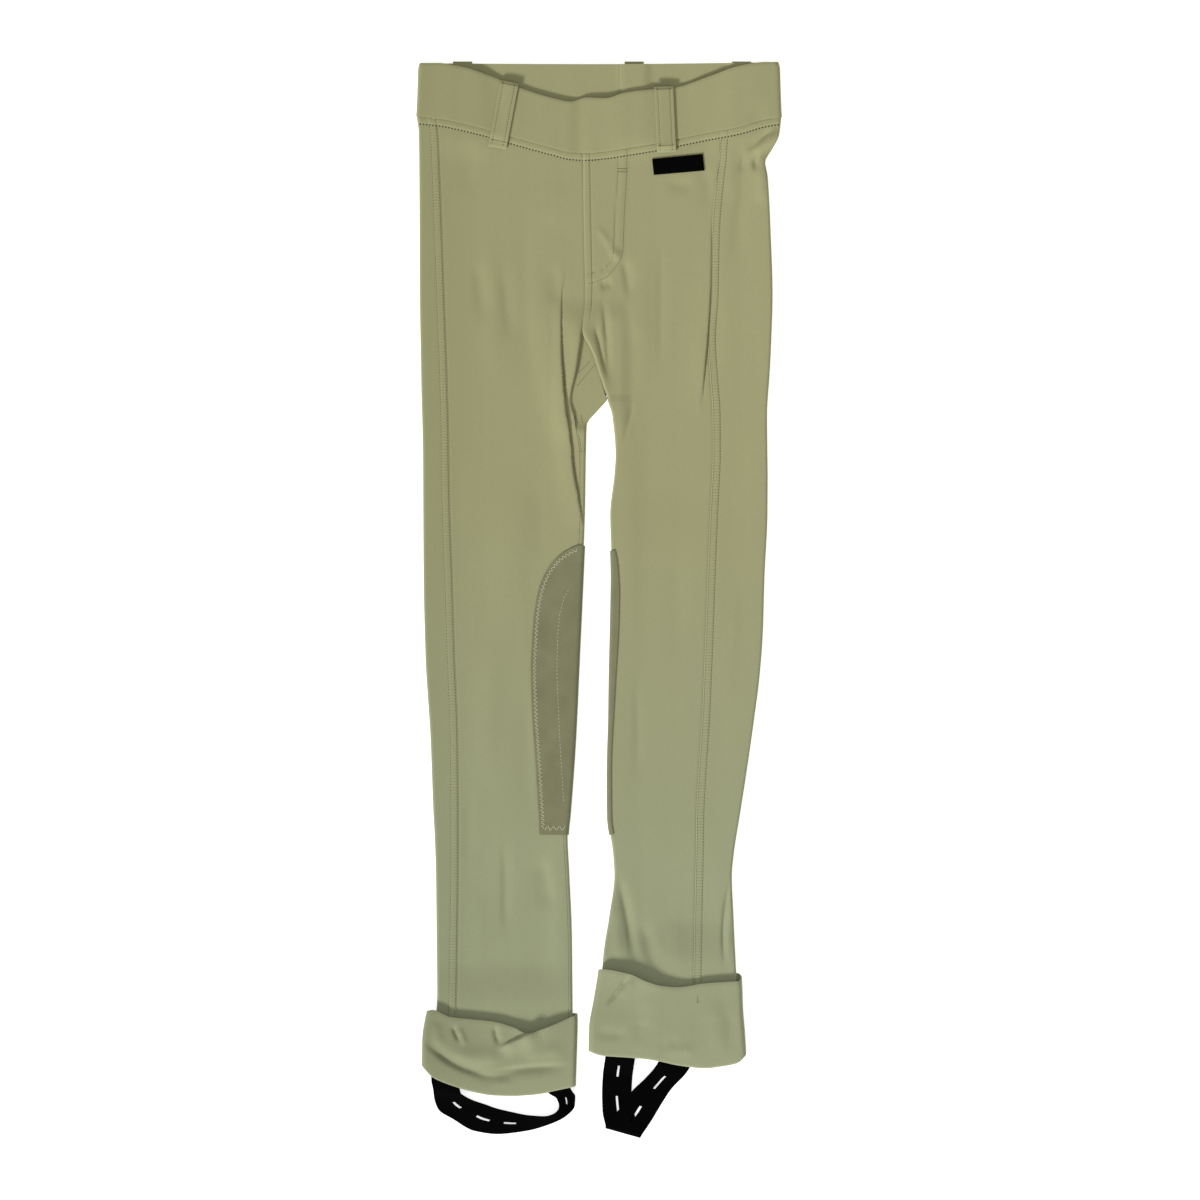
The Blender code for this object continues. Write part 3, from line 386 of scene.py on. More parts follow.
# Kinds of stitching: how the thread lies, then pitch, length, width and height of a stitch
WAIST_ROW = ("run", 2.6, 1.7, 1.25, 0.3)
BAND_ROW = ("run", 2.4, 1.7, 0.5, 0.15)
CUFF_ROW = ("rung", 1.7, 1.5, 0.6, 0.2)
ALLOWANCE_ROW = ("run", 2.4, 1.7, 0.55, 0.22)
SIDE_ROW = ("run", 2.4, 1.7, 0.5, 0.16)
SIDE_RUNGS = ("rung", 2.4, ALLOWANCE - 1.6, 0.7, 0.2)
SEAM_ROW = ("run", 2.4, 1.7, 0.5, 0.2)
TOP_ROW = ("run", 2.3, 1.6, 0.5, 0.2)
FLY_EDGE_ROW = ("run", 2.3, 1.6, 0.55, 0.22)
FLY_TACK = ("run", 2.0, 1.7, 0.6, 0.25)
TONGUE_ROW = ("run", 2.3, 1.7, 0.5, 0.2)
LOOP_TACK = ("run", 1.6, 1.5, 0.7, 0.3)

# Where the seam rows start and end: y for the centre seam, from the seam for the side
CENTRE_ROW_ENDS = (358.0, 238.0)
BESIDE_SEAM = 1.3
BESIDE_CENTRE = 5.6

# Colours of the cloth, linear
LOWER_TINT = (0.95, 1.03, 1.19, 1.0)
# Dark and light ends of the cloth, band and cuff ramps: across X they paint shade on the wearer's right and
# light on the wearer's left, with slow mottling on top.
CLOTH_DARK = (0.268, 0.268, 0.134)
CLOTH_LIGHT = (0.324, 0.317, 0.162)
BAND_DARK = (0.265, 0.262, 0.129)
BAND_LIGHT = (0.318, 0.315, 0.16)
# The cuff's dark end is darker than the cloth's: painted shade of the folds on the right cuff.
CUFF_DARK = (0.215, 0.208, 0.1)
CUFF_LIGHT = (0.322, 0.31, 0.158)
SUEDE_DARK = (0.178, 0.176, 0.095)
SUEDE_LIGHT = (0.205, 0.203, 0.112)
BLACK_DARK = (0.0004, 0.0004, 0.0004)
BLACK_LIGHT = (0.0022, 0.0022, 0.0022)

# Light and camera, in metres and degrees. The middle of the photograph is one of
# its pixels to the wearer's left of the row's
FLOOR_GLOW = 0.6
WORLD_STRENGTH = 0.38
OVERHEAD_HEIGHT = 2.4
OVERHEAD_SIZE = 1.2
OVERHEAD_POWER = 10.5
KEY_FROM = (-0.55, -0.8)
KEY_HEIGHT = 27.0
KEY_STRENGTH = 3.5
KEY_SOFTNESS = 10.0
FRAME_WIDTH = 0.972
CAMERA_HEIGHT = 6.0
PHOTO_PIXEL = 0.81


def smooth_step(value, start, end):
    """Rises from 0 at start to 1 at end; start may be the larger."""
    t = np.clip((np.asarray(value, dtype=float) - start) / (end - start), 0.0, 1.0)
    return t * t * (3.0 - 2.0 * t)


def table_at(table, index, where):
    """A table's column on a smooth curve through its rows that never overshoots them."""
    rows = sorted(table)
    xs = np.array([row[0] for row in rows], dtype=float)
    vs = np.array([row[index] for row in rows], dtype=float)
    steps = np.diff(xs)
    rises = np.diff(vs) / steps
    slopes = np.zeros(len(xs))
    slopes[0] = rises[0]
    slopes[-1] = rises[-1]
    same_way = rises[:-1] * rises[1:] > 0
    both = rises[:-1] + rises[1:]
    slopes[1:-1] = np.where(same_way, 2.0 * rises[:-1] * rises[1:] / np.where(same_way, both, 1.0), 0.0)
    x = np.clip(np.asarray(where, dtype=float), xs[0], xs[-1])
    i = np.clip(np.searchsorted(xs, x, side="right") - 1, 0, len(steps) - 1)
    h = steps[i]
    t = (x - xs[i]) / h
    start = vs[i] * (2 * t ** 3 - 3 * t ** 2 + 1) + slopes[i] * h * (t ** 3 - 2 * t ** 2 + t)
    end = vs[i + 1] * (3 * t ** 2 - 2 * t ** 3) + slopes[i + 1] * h * (t ** 3 - t ** 2)
    return start + end


def near_curve(points, x, y):
    """Distance of (x, y) from a run of points, the share along it, and the side (above 0 is left)."""
    nearest = np.full(np.broadcast(x, y).shape, 1e9)
    along = np.zeros(nearest.shape)
    side = np.zeros(nearest.shape)
    steps = len(points) - 1
    for k in range(steps):
        dx = points[k + 1][0] - points[k][0]
        dy = points[k + 1][1] - points[k][1]
        t = np.clip(((x - points[k][0]) * dx + (y - points[k][1]) * dy) / (dx * dx + dy * dy), 0.0, 1.0)
        gap_x = x - points[k][0] - t * dx
        gap_y = y - points[k][1] - t * dy
        away = np.hypot(gap_x, gap_y)
        closer = away < nearest
        along = np.where(closer, (k + t) / steps, along)
        side = np.where(closer, dx * gap_y - dy * gap_x, side)
        nearest = np.where(closer, away, nearest)
    return nearest, along, side


def bend(x0, y0, x1, y1, x2, y2, count=12):
    """Points of a curve from its start to its end, pulled towards its middle point."""
    t = np.linspace(0.0, 1.0, count + 1)
    xs = (1 - t) ** 2 * x0 + 2 * t * (1 - t) * x1 + t ** 2 * x2
    ys = (1 - t) ** 2 * y0 + 2 * t * (1 - t) * y1 + t ** 2 * y2
    return list(zip(xs, ys))


def crease_height(table, x, y):
    """A sharp drop across a table's line, with the cloth easing back to level on both sides."""
    past = x - table_at(table, 1, y)
    drop = table_at(table, 2, y)
    low = -0.3 * np.exp(-np.abs(past) / CREASE_EAST)
    high = 0.7 * np.exp(-(past / CREASE_WEST) ** 2)
    slot = -0.15 * np.exp(-((past - CREASE_SLOT) / (0.7 * CREASE_SLOT)) ** 2)
    return drop * (high + (low - high) * smooth_step(past, -CREASE_WIDTH, CREASE_WIDTH) + slot)


def fold_height(side, x, y):
    """Sum of a side's folds at (x, y)."""
    total = np.zeros(np.broadcast(x, y).shape)
    if side == "right":
        total = total + crease_height(RIGHT_CREASE, x, y)
    if side == "left":
        total = total + crease_height(LEFT_CREASE, x, y)
    for fold in FOLDS[side]:
        crease = dict(zip(FOLD_COLUMNS, fold))
        away, along, hand = near_curve(bend(*fold[:6]), x, y)
        reach = np.where(hand > 0, crease["left"], crease["right"])
        fade = smooth_step(along, 0.0, 0.35) * smooth_step(along, 1.0, 0.65)
        total = total + crease["height"] * fade * np.exp(-(away / reach) ** 2)
    return total


class Leg:
    """One leg and its half of the seat."""

    def __init__(self, side, outline, front_edge, patch, cuff, cuff_sides, crotch):
        self.side = side
        self.outline = outline
        self.front_edge = front_edge
        self.patch = patch
        self.cuff = cuff
        self.cuff_sides = cuff_sides
        self.crotch = crotch
        self.inward = 1.0 if side == "right" else -1.0
        self.hem = sum(row[1] for row in cuff) / len(cuff) + HEM_TURN
        self.cuff_top = max(row[2] for row in cuff)

    def outer(self, y):
        return table_at(self.outline, 1, y)

    def inner(self, y):
        return table_at(self.outline, 2, y)

    def side_seam(self, y):
        return table_at(self.outline, 3, y)

    def front_inner(self, y):
        return table_at(self.front_edge, 1, y)


RIGHT = Leg("right", RIGHT_LEG, RIGHT_FRONT_EDGE, RIGHT_PATCH, RIGHT_CUFF, RIGHT_CUFF_SIDES, CROTCH_RIGHT)
LEFT = Leg("left", LEFT_LEG, LEFT_FRONT_EDGE, LEFT_PATCH, LEFT_CUFF, LEFT_CUFF_SIDES, CROTCH_LEFT)


def loop_rise(x, y):
    """How far the back is lifted by the belt loops that lie under it."""
    total = np.zeros(np.broadcast(x, y).shape)
    for middle, width in BACK_LOOPS.values():
        across = smooth_step(np.abs(x - middle), width / 2 + LOOP_MARGIN, width / 2 + 1.0)
        total = np.maximum(total, across)
    return total * (LOOP_CLOTH + GAP) * smooth_step(y, BACK_LOOP_FOOT - LOOP_MARGIN, BACK_LOOP_FOOT - 1.0)


def back_height(leg, x, y):
    """Middle of the back layer's cloth over the surface; patch, cuff and loops lift it."""
    from_inner = np.abs(x - leg.inner(y))
    reach = table_at(leg.patch, 2, y)
    low_end = leg.patch[-1][0]
    high_end = leg.patch[0][0]
    patch = smooth_step(from_inner, reach + PATCH_HOLD + PATCH_MARGIN, reach + PATCH_HOLD)
    patch = patch * smooth_step(y, high_end + PATCH_MARGIN, high_end + 1.0)
    patch = patch * smooth_step(y, low_end - PATCH_MARGIN, low_end - 1.0)
    cuff = smooth_step(y, leg.cuff_top + CUFF_REACH, leg.cuff_top + 4.0)
    rise = np.maximum(patch * (PATCH_CLOTH + GAP), cuff * PLY)
    return CLOTH / 2 + np.maximum(rise, loop_rise(x, y))


def soft_base(leg, x, y):
    """What the front rests on: the back's lifts, with none of their edges showing through."""
    from_inner = np.abs(x - leg.inner(y))
    reach = table_at(leg.patch, 2, np.clip(y, leg.patch[-1][0], 0.0)) + PATCH_HOLD
    patch = smooth_step(from_inner, reach + SOFT_MARGIN, reach - 4.0)
    patch = patch * smooth_step(y, leg.patch[0][0] + SOFT_MARGIN, leg.patch[0][0] - 10.0)
    patch = patch * smooth_step(y, leg.patch[-1][0] - SOFT_MARGIN, leg.patch[-1][0] + 10.0)
    cuff = smooth_step(y, leg.cuff_top + CUFF_REACH, leg.cuff_top + 4.0)
    return CLOTH / 2 + np.maximum(np.maximum(patch * (PATCH_CLOTH + GAP), cuff * PLY), soft_loop_rise(x, y))


def soft_loop_rise(x, y):
    """The lift of the back belt loops, spread out by the cloth over them."""
    total = np.zeros(np.broadcast(x, y).shape)
    for middle, width in BACK_LOOPS.values():
        across = smooth_step(np.abs(x - middle), width / 2 + LOOP_SPREAD, width / 2 - 2.0)
        total = np.maximum(total, across)
    return total * (LOOP_CLOTH + GAP) * smooth_step(y, BACK_LOOP_FOOT - LOOP_SPREAD, BACK_LOOP_FOOT)


def front_height(leg, x, y):
    """Middle of the front layer's cloth over the surface."""
    from_outer = np.abs(x - leg.outer(y))
    from_inner = np.where(y < leg.crotch, np.abs(x - leg.inner(y)), SAG_REACH)
    inside = smooth_step(np.minimum(from_outer, from_inner), 3.0, SAG_REACH)
    cuff = smooth_step(y, leg.cuff_top + CUFF_REACH, leg.cuff_top + 4.0)
    tongue = smooth_step(np.abs(x - TONGUE_MIDDLE), *TONGUE_SIDES)
    tongue = tongue * smooth_step(y, *TONGUE_FOOT) * smooth_step(y, *TONGUE_HEAD)
    room = 2 * EDGE_RADIUS - SAG * inside * (1.0 - cuff) + CUFF_ROOM * cuff + TONGUE_RISE * tongue
    return soft_base(leg, x, y) + room + fold_height(leg.side, x, y)


def waist_line(x):
    """Lower edge of the waistband on the front."""
    return table_at(FRONT_BAND, 1, x)


def front_finish(leg, x, y):
    """Small relief of a sewn front: cloth dips at seams and stands up over seam allowances."""
    below_waist = waist_line(x) - y
    relief = WAIST_RISE * smooth_step(below_waist, WAIST_ALLOWANCE + 2.0, WAIST_ALLOWANCE - 1.0)
    relief = relief - 0.35 * np.exp(-((below_waist - WAIST_ALLOWANCE) / 1.2) ** 2)
    relief = relief - SIDE_DROP * smooth_step(below_waist, ROLL_REACH, 0.0)
    seam = np.abs(x - leg.side_seam(y))
    relief = relief - SIDE_DROP * smooth_step(seam, ROLL_REACH, 0.0)
    outside = (leg.side_seam(y) - x) * leg.inward
    allowance = smooth_step(outside, 0.2, 1.2) * smooth_step(outside, ALLOWANCE + 0.8, ALLOWANCE - 0.6)
    relief = relief + ALLOWANCE_RISE * allowance
    relief = relief - 0.2 * np.exp(-((outside - ALLOWANCE) / 0.7) ** 2)
    inner_edge = np.abs(x - table_at(leg.front_edge, 1, y))
    centre = smooth_step(y, FRONT_JOIN - 8.0, FRONT_JOIN + 4.0)
    relief = relief - ROLL_DROP * centre * smooth_step(inner_edge, ROLL_REACH, 0.0)
    if leg is LEFT:
        relief = relief + fly_relief(x, y)
    return relief


def fly_relief(x, y):
    """The mock fly: the allowance beside the centre seam and the J of stitching."""
    seam = table_at(LEFT_FRONT_EDGE, 1, y)
    beside = x - seam
    centre = smooth_step(y, FRONT_JOIN - 6.0, FRONT_JOIN + 6.0)
    strip = ALLOWANCE_RISE * smooth_step(beside, 6.2, 4.8) - 0.3 * np.exp(-((beside - 5.6) / 0.7) ** 2)
    inner, _, inner_side = near_curve(FLY_INNER, x, y)
    outer, _, outer_side = near_curve(FLY_OUTER, x, y)
    inside = np.where(outer_side < 0, 1.0, smooth_step(outer, 1.2, 0.0)) * smooth_step(y, 250.0, 258.0)
    plateau = 0.55 * inside * smooth_step(x, -13.0, -11.0)
    channels = 0.3 * np.exp(-(inner / 0.8) ** 2) + 0.35 * np.exp(-(outer / 0.8) ** 2)
    return strip * centre + plateau - channels


def top_of_panel(leg, x, y):
    """Outer surface of the front layer, with its sewn relief."""
    return front_height(leg, x, y) + front_finish(leg, x, y) + CLOTH / 2


def shaped_y(leg, x, y, on_front):
    """Bends the rows next to the waist and the hem to follow those edges."""
    at_waist = smooth_step(y, WAIST_SEAM - WAIST_BLEND, WAIST_SEAM)
    at_hem = smooth_step(y, leg.hem + 60.0, leg.hem)
    waist = waist_line(x) - WAIST_SEAM if on_front else 0.0
    hem = table_at(leg.cuff, 1, x) + HEM_TURN - leg.hem
    return y + at_waist * (waist - SEAM_GAP) + at_hem * (hem + HEM_GAP)


def material(name):
    return bpy.data.materials[name]


def add_mesh(name, verts, faces, material_name, smooth_angle=50.0):
    """A piece in metres from points in millimetres; it rides on the part's one body."""
    mesh = bpy.data.meshes.new(name)
    mesh.from_pydata((np.asarray(verts) * MM).tolist(), [], faces)
    mesh.materials.append(material(material_name))
    mesh.update()
    mesh.shade_smooth()
    mesh.set_sharp_from_angle(angle=math.radians(smooth_angle))
    obj = bpy.data.objects.new(name, mesh)
    bpy.context.scene.collection.objects.link(obj)
    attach(obj, "root")
    return obj


def sheet_normals(points, quads):
    """Normal at each point, from the faces around it."""
    corners = points[quads]
    normal = np.cross(corners[:, 2] - corners[:, 0], corners[:, 3] - corners[:, 1])
    normals = np.zeros(points.shape)
    for k in range(4):
        np.add.at(normals, quads[:, k], normal)
    lengths = np.linalg.norm(normals, axis=1)[:, None]
    return normals / np.maximum(lengths, 1e-12)


def grid_quads(rows, columns, keep=None, closed=False):
    """Quads of a grid of points; keep is a table of the cells that are there."""
    i, j = np.meshgrid(np.arange(rows - 1), np.arange(columns if closed else columns - 1), indexing="ij")
    if keep is not None:
        i = i[keep]
        j = j[keep]
    i = i.ravel()
    j = j.ravel()
    right = (j + 1) % columns
    this_row = i * columns
    next_row = this_row + columns
    return np.stack((this_row + j, this_row + right, next_row + right, next_row + j), axis=1)


def add_sheet(name, points, quads, thickness, material_name, rounding=0.18):
    """One closed shell from an open surface, half its thickness to each side, its rim rounded."""
    used, place = np.unique(quads, return_inverse=True)
    middle = points[used]
    quads = place.reshape(quads.shape)
    normals = sheet_normals(middle, quads)
    count = len(middle)
    edges = np.concatenate([quads[:, [k, (k + 1) % 4]] for k in range(4)])
    codes = edges[:, 0] * count + edges[:, 1]
    back = edges[:, 1] * count + edges[:, 0]
    rim = edges[~np.isin(codes, back)]
    half = thickness / 2
    out = rim_direction(middle, normals, rim, count)
    verts = np.vstack((middle + normals * half, middle - normals * half))
    edge_points = np.unique(rim)
    verts[edge_points] -= out[edge_points] * half * rounding
    verts[edge_points + count] -= out[edge_points] * half * rounding
    rim_place = {int(p): 2 * count + k for k, p in enumerate(edge_points)}
    verts = np.vstack((verts, middle[edge_points]))
    faces = quads.tolist() + (quads[:, ::-1] + count).tolist()
    for a, b in rim.tolist():
        faces.append((b, a, rim_place[a], rim_place[b]))
        faces.append((rim_place[b], rim_place[a], a + count, b + count))
    return add_mesh(name, verts, faces, material_name)


def rim_direction(middle, normals, rim, count):
    """Outward direction in the cloth at each point of the rim."""
    out = np.zeros((count, 3))
    along = middle[rim[:, 1]] - middle[rim[:, 0]]
    for k in range(2):
        np.add.at(out, rim[:, k], np.cross(along, normals[rim[:, k]]))
    lengths = np.linalg.norm(out, axis=1)[:, None]
    return out / np.maximum(lengths, 1e-12)


def edge_arc(leg, edge, inward, y, angles):
    """Columns of points round a leg's side, from angles of 90 on top to -90 underneath."""
    flat = edge + inward * EDGE_RADIUS
    low = back_height(leg, flat, y)
    high = front_height(leg, flat, y)
    turn = np.radians(np.array(angles))[None, :]
    x = edge[:, None] + inward * EDGE_RADIUS * (1.0 - np.cos(turn))
    z = low[:, None] + ((high - low) / 2)[:, None] * (1.0 + np.sin(turn))
    return x, z


def panel_rows(leg):
    """Heights of the rows of a panel: every 3 mm, closer at the waist."""
    fine = np.arange(WAIST_SEAM, WAIST_SEAM - 14.0, -0.9)
    coarse = np.linspace(WAIST_SEAM - 14.0, leg.hem, 252)
    return np.concatenate((fine, coarse))[::-1]


def fine_shares(width, step, start_reach, end_reach, fine_step=0.5):
    """Shares across a panel, close together beside its seams."""
    start = np.arange(0.0, start_reach, fine_step)
    middle = np.arange(start_reach, width - end_reach, step)
    end = width - np.arange(0.0, end_reach, fine_step)[::-1]
    return np.concatenate((start, middle, end)) / width


def front_panel(leg):
    """Front of one leg and its half of the seat."""
    y = panel_rows(leg)
    wraps = (y < leg.crotch) if leg is LEFT else np.zeros(len(y), dtype=bool)
    edge = np.where(wraps, leg.inner(y), leg.front_inner(y))
    seam = leg.side_seam(y) + leg.inward * SEAM_GAP / 2
    flat_end = edge - leg.inward * EDGE_RADIUS
    shares = fine_shares(108.0, 2.2, 9.0, 25.0)
    x = seam[:, None] + (flat_end - seam)[:, None] * shares[None, :]
    row_y = shaped_y(leg, x, y[:, None], True)
    z = front_height(leg, x, row_y) + front_finish(leg, x, row_y)
    blocks = [(x, row_y, z)]
    angles = (70.0, 50.0, 30.0, 12.0, -5.0)
    arc_x, arc_z = edge_arc(leg, edge, -leg.inward, y, angles)
    turn = np.radians(np.array(angles))[None, :]
    curl = (smooth_step(y, FRONT_JOIN, CURL_FULL) * smooth_step(y, *CURL_FOOT))[:, None]
    open_x = edge[:, None] - leg.inward * (EDGE_RADIUS * (1 - np.cos(turn)) + SEAM_GAP / 2)
    arc_x = np.where(wraps[:, None], arc_x, open_x)
    arc_y = shaped_y(leg, arc_x, y[:, None], True)
    open_z = front_height(leg, open_x, arc_y) + front_finish(leg, open_x, arc_y)
    open_z = open_z - curl * EDGE_RADIUS * (1 - np.sin(turn))
    arc_z = np.where(wraps[:, None], arc_z, open_z)
    blocks.append((arc_x, arc_y, arc_z))
    main_columns = len(shares) + len(angles)
    if leg is LEFT:
        blocks += under_blocks(leg, y, edge)
    points, width = join_blocks(blocks)
    rows = len(y)
    keep = np.ones((rows - 1, width - 1), dtype=bool)
    keep[y[1:] >= CROTCH_LEFT - 3, main_columns - 1:] = False
    quads = grid_quads(rows, width, keep)
    return add_sheet(f"front_{leg.side}_cloth", points, quads, CLOTH, "olive_cloth")


def under_blocks(leg, y, edge):
    """The left front's cloth past the inner edge and under the leg, to its seam there."""
    seam_under = table_at(LEFT_UNDER_SEAM, 1, y) - SEAM_GAP / 2
    arc_x, arc_z = edge_arc(leg, edge, -leg.inward, y, (-25.0, -50.0, -90.0))
    start = edge - leg.inward * EDGE_RADIUS
    end = np.maximum(seam_under, start + 2.0)
    shares = np.linspace(0.0, 1.0, 9)[1:]
    x = start[:, None] + (end - start)[:, None] * shares[None, :]
    row_y = shaped_y(leg, x, y[:, None], False)
    return [(arc_x, shaped_y(leg, arc_x, y[:, None], False), arc_z), (x, row_y, back_height(leg, x, row_y))]


def join_blocks(blocks):
    """Points of neighbouring blocks of columns as one grid, and its width."""
    x = np.concatenate([block[0] for block in blocks], axis=1)
    y = np.concatenate([np.broadcast_to(block[1], block[0].shape) for block in blocks], axis=1)
    z = np.concatenate([block[2] for block in blocks], axis=1)
    return np.stack((x, y, z), axis=2).reshape(-1, 3), x.shape[1]


def back_panel(leg):
    """Back of one leg and its half of the seat, round the outer edge to the side seam."""
    y = panel_rows(leg)
    outer = leg.outer(y)
    seam = leg.side_seam(y) - leg.inward * SEAM_GAP / 2
    shares = fine_shares(56.0, 1.6, 9.0, 3.0) if leg is LEFT else np.linspace(0.0, 1.0, 26)
    x = seam[:, None] + (outer + leg.inward * EDGE_RADIUS - seam)[:, None] * shares[None, :]
    row_y = shaped_y(leg, x, y[:, None], True)
    blocks = [(x, row_y, front_height(leg, x, row_y) + front_finish(leg, x, row_y))]
    arc_x, arc_z = edge_arc(leg, outer, leg.inward, y, (65.0, 40.0, 15.0, -10.0, -35.0, -62.0))
    blocks.append((arc_x, shaped_y(leg, arc_x, y[:, None], True), arc_z))
    inner = leg.inner(y)
    tongue_end = CROTCH_LEFT + 1.0
    folded = (y <= tongue_end) if leg is RIGHT else np.zeros(len(y), dtype=bool)
    end = np.where(folded, inner - EDGE_RADIUS, inner - leg.inward * SEAM_GAP / 2)
    if leg is LEFT:
        end = np.where(y < CROTCH_LEFT, table_at(LEFT_UNDER_SEAM, 1, y) + SEAM_GAP / 2, end)
    start = outer + leg.inward * EDGE_RADIUS
    shares = np.linspace(0.0, 1.0, 40)
    x = start[:, None] + (end - start)[:, None] * shares[None, :]
    row_y = shaped_y(leg, x, y[:, None], False)
    blocks.append((x, row_y, back_height(leg, x, row_y)))
    main_columns = sum(block[0].shape[1] for block in blocks)
    if leg is RIGHT:
        blocks.append(inner_turn(leg, y, inner))
    points, width = join_blocks(blocks)
    keep = np.ones((len(y) - 1, width - 1), dtype=bool)
    if leg is RIGHT:
        keep[y[1:] > tongue_end, main_columns - 1:] = False
    quads = grid_quads(len(y), width, keep)
    return add_sheet(f"back_{leg.side}_cloth", points, quads, CLOTH, "olive_cloth")


def inner_turn(leg, y, inner):
    """The right back's cloth past its inner edge: up, over and back to the inseam; at the
    crotch it spreads into the tongue that shows between the legs."""
    low = back_height(leg, inner - EDGE_RADIUS, y)
    fan = smooth_step(y, *TONGUE_FAN)
    under = smooth_step(y, *TONGUE_UNDER)
    edge_top = front_height(leg, inner - EDGE_RADIUS, y)
    high = edge_top + (low + PLY + 0.2 - edge_top) * under
    seam_x = np.minimum(leg.front_inner(y) + SEAM_GAP / 2, inner - EDGE_RADIUS - 1.0)
    end_y = y + TONGUE_REACH * fan
    end_x = seam_x + (leg.front_inner(end_y) - TONGUE_TUCK - seam_x) * smooth_step(fan, 0.0, 0.3)
    turn = np.radians(np.array((-60.0, -30.0, 0.0, 30.0, 60.0)))[None, :]
    arc_x = inner[:, None] - EDGE_RADIUS * (1 - np.cos(turn))
    arc_y = np.broadcast_to(y[:, None], arc_x.shape)
    arc_z = low[:, None] + ((high - low) / 2)[:, None] * (1 + np.sin(turn))
    shares = np.linspace(0.0, 1.0, 12)[None, :]
    start_x = inner - EDGE_RADIUS
    x = start_x[:, None] + (end_x - start_x)[:, None] * shares
    flat_y = y[:, None] + (end_y - y)[:, None] * shares
    beside = front_height(leg, x, flat_y)
    z = beside + (high[:, None] - beside) * under[:, None]
    all_x = np.concatenate((arc_x, x), axis=1)
    all_y = np.concatenate((arc_y, flat_y), axis=1)
    plain = shaped_y(leg, all_x, all_y, False)
    all_y = np.where((y < 0.0)[:, None], plain, all_y)
    return all_x, all_y, np.concatenate((arc_z, z), axis=1)


def band_height(x, y, on_front):
    """Middle of the waistband's cloth over the surface."""
    if not on_front:
        return BAND_CLOTH / 2 + loop_rise(x, y)
    low = BAND_CLOTH / 2 + soft_loop_rise(x, y)
    inside = smooth_step(np.abs(x), 145.0, 115.0)
    dent = -0.9 * np.exp(-((x + 16.5) / 6.0) ** 2) + 0.35 * np.exp(-((x + 4.0) / 7.0) ** 2)
    share = (y - waist_line(x)) / 44.0
    waves = 0.22 * np.sin(x / 17.0 + 0.6) * np.sin(x / 9.3 + 1.0) + 0.12 * np.sin(x / 4.1)
    pinch = -0.9 * np.exp(-((x - 128.0) / 8.0) ** 2) * smooth_step(share, 0.5, 0.0)
    return low + BAND_ROOM - 0.5 * inside + dent * inside + waves * inside * (0.4 + 0.6 * share) + pinch


def waistband():
    """One strip round the waist, doubled over its elastic, its ends at the middle of the back."""
    radius = BAND_ROOM / 2
    shares = np.concatenate(([0.0, 0.012, 0.03, 0.06], np.linspace(0.1, 0.9, 22), [0.94, 0.97, 0.988, 1.0]))
    around = []
    for x in np.linspace(BACK_SEAM_TOP + 0.02, 144.0, 50):
        around.append(("back", x))
    around += [("left", angle) for angle in (-60.0, -30.0, 0.0, 30.0, 60.0)]
    around += [("front", x) for x in np.linspace(144.0, -144.0, 150)]
    around += [("right", angle) for angle in (60.0, 30.0, 0.0, -30.0, -60.0)]
    around += [("back", x) for x in np.linspace(-144.0, BACK_SEAM_TOP - 0.02, 64)]
    points = []
    for share in shares:
        side = float(table_at(BAND_SIDE, 1, WAIST_SEAM + 45.0 * share))
        flat = side - radius
        edge_roll = 0.15 * float(smooth_step(share, 0.03, 0.0)) + 0.4 * float(smooth_step(share, 0.965, 1.0))
        for place, value in around:
            if place in ("front", "back"):
                x = value / 144.0 * flat if abs(value) > 30.0 else value
                turn = 0.0
            else:
                turn = math.radians(value)
                x = (side - radius * (1 - math.cos(turn))) * (1.0 if place == "left" else -1.0)
            low_y = WAIST_SEAM if place == "back" else float(waist_line(x))
            top_table, top_column = (FRONT_BAND, 2) if place == "front" else (BACK_BAND_TOP, 1)
            top_y = float(table_at(top_table, top_column, x))
            y = low_y + SEAM_GAP + (top_y - low_y - SEAM_GAP) * share
            if place == "front":
                z = float(band_height(x, y, True)) - edge_roll
            elif place == "back":
                z = float(band_height(x, y, False))
            else:
                z = float(band_height(x, y, False)) + radius * (1 + math.sin(turn)) - edge_roll * (turn > 0)
            points.append((x, y, z))
    points = np.array(points)
    quads = grid_quads(len(shares), len(around))
    return add_sheet("waistband_cloth", points, quads, BAND_CLOTH, "band_cloth")


def cuff_point(leg, where, share, inset, drop):
    """A point of the cuff; inset moves it into the cuff and drop moves it along the leg."""
    place, value = where
    guess_y = leg.cuff_top - 6.0 + (leg.hem - HEM_TURN - leg.cuff_top) * share
    left = float(table_at(leg.cuff_sides, 1, guess_y)) + inset
    right = float(table_at(leg.cuff_sides, 2, guess_y)) - inset
    radius = (CUFF_FRONT - CLOTH / 2) / 2
    turn = math.radians(value)
    if place == "left":
        x = left + radius * (1 - math.cos(turn))
    elif place == "right":
        x = right - radius * (1 - math.cos(turn))
    else:
        x = left + radius + (right - left - 2 * radius) * value
    low_y = float(table_at(leg.cuff, 1, x))
    front_top = float(table_at(leg.cuff, 2, x))
    back_top = leg.cuff_top - 2.0 + (front_top - leg.cuff_top) * 0.2
    weight = {"front": 1.0, "back": 0.0}.get(place, (1 + math.sin(turn)) / 2)
    top_y = back_top + (front_top - back_top) * weight
    y = top_y + (low_y - top_y) * share + drop
    return place, turn, x, y, CLOTH / 2 + inset


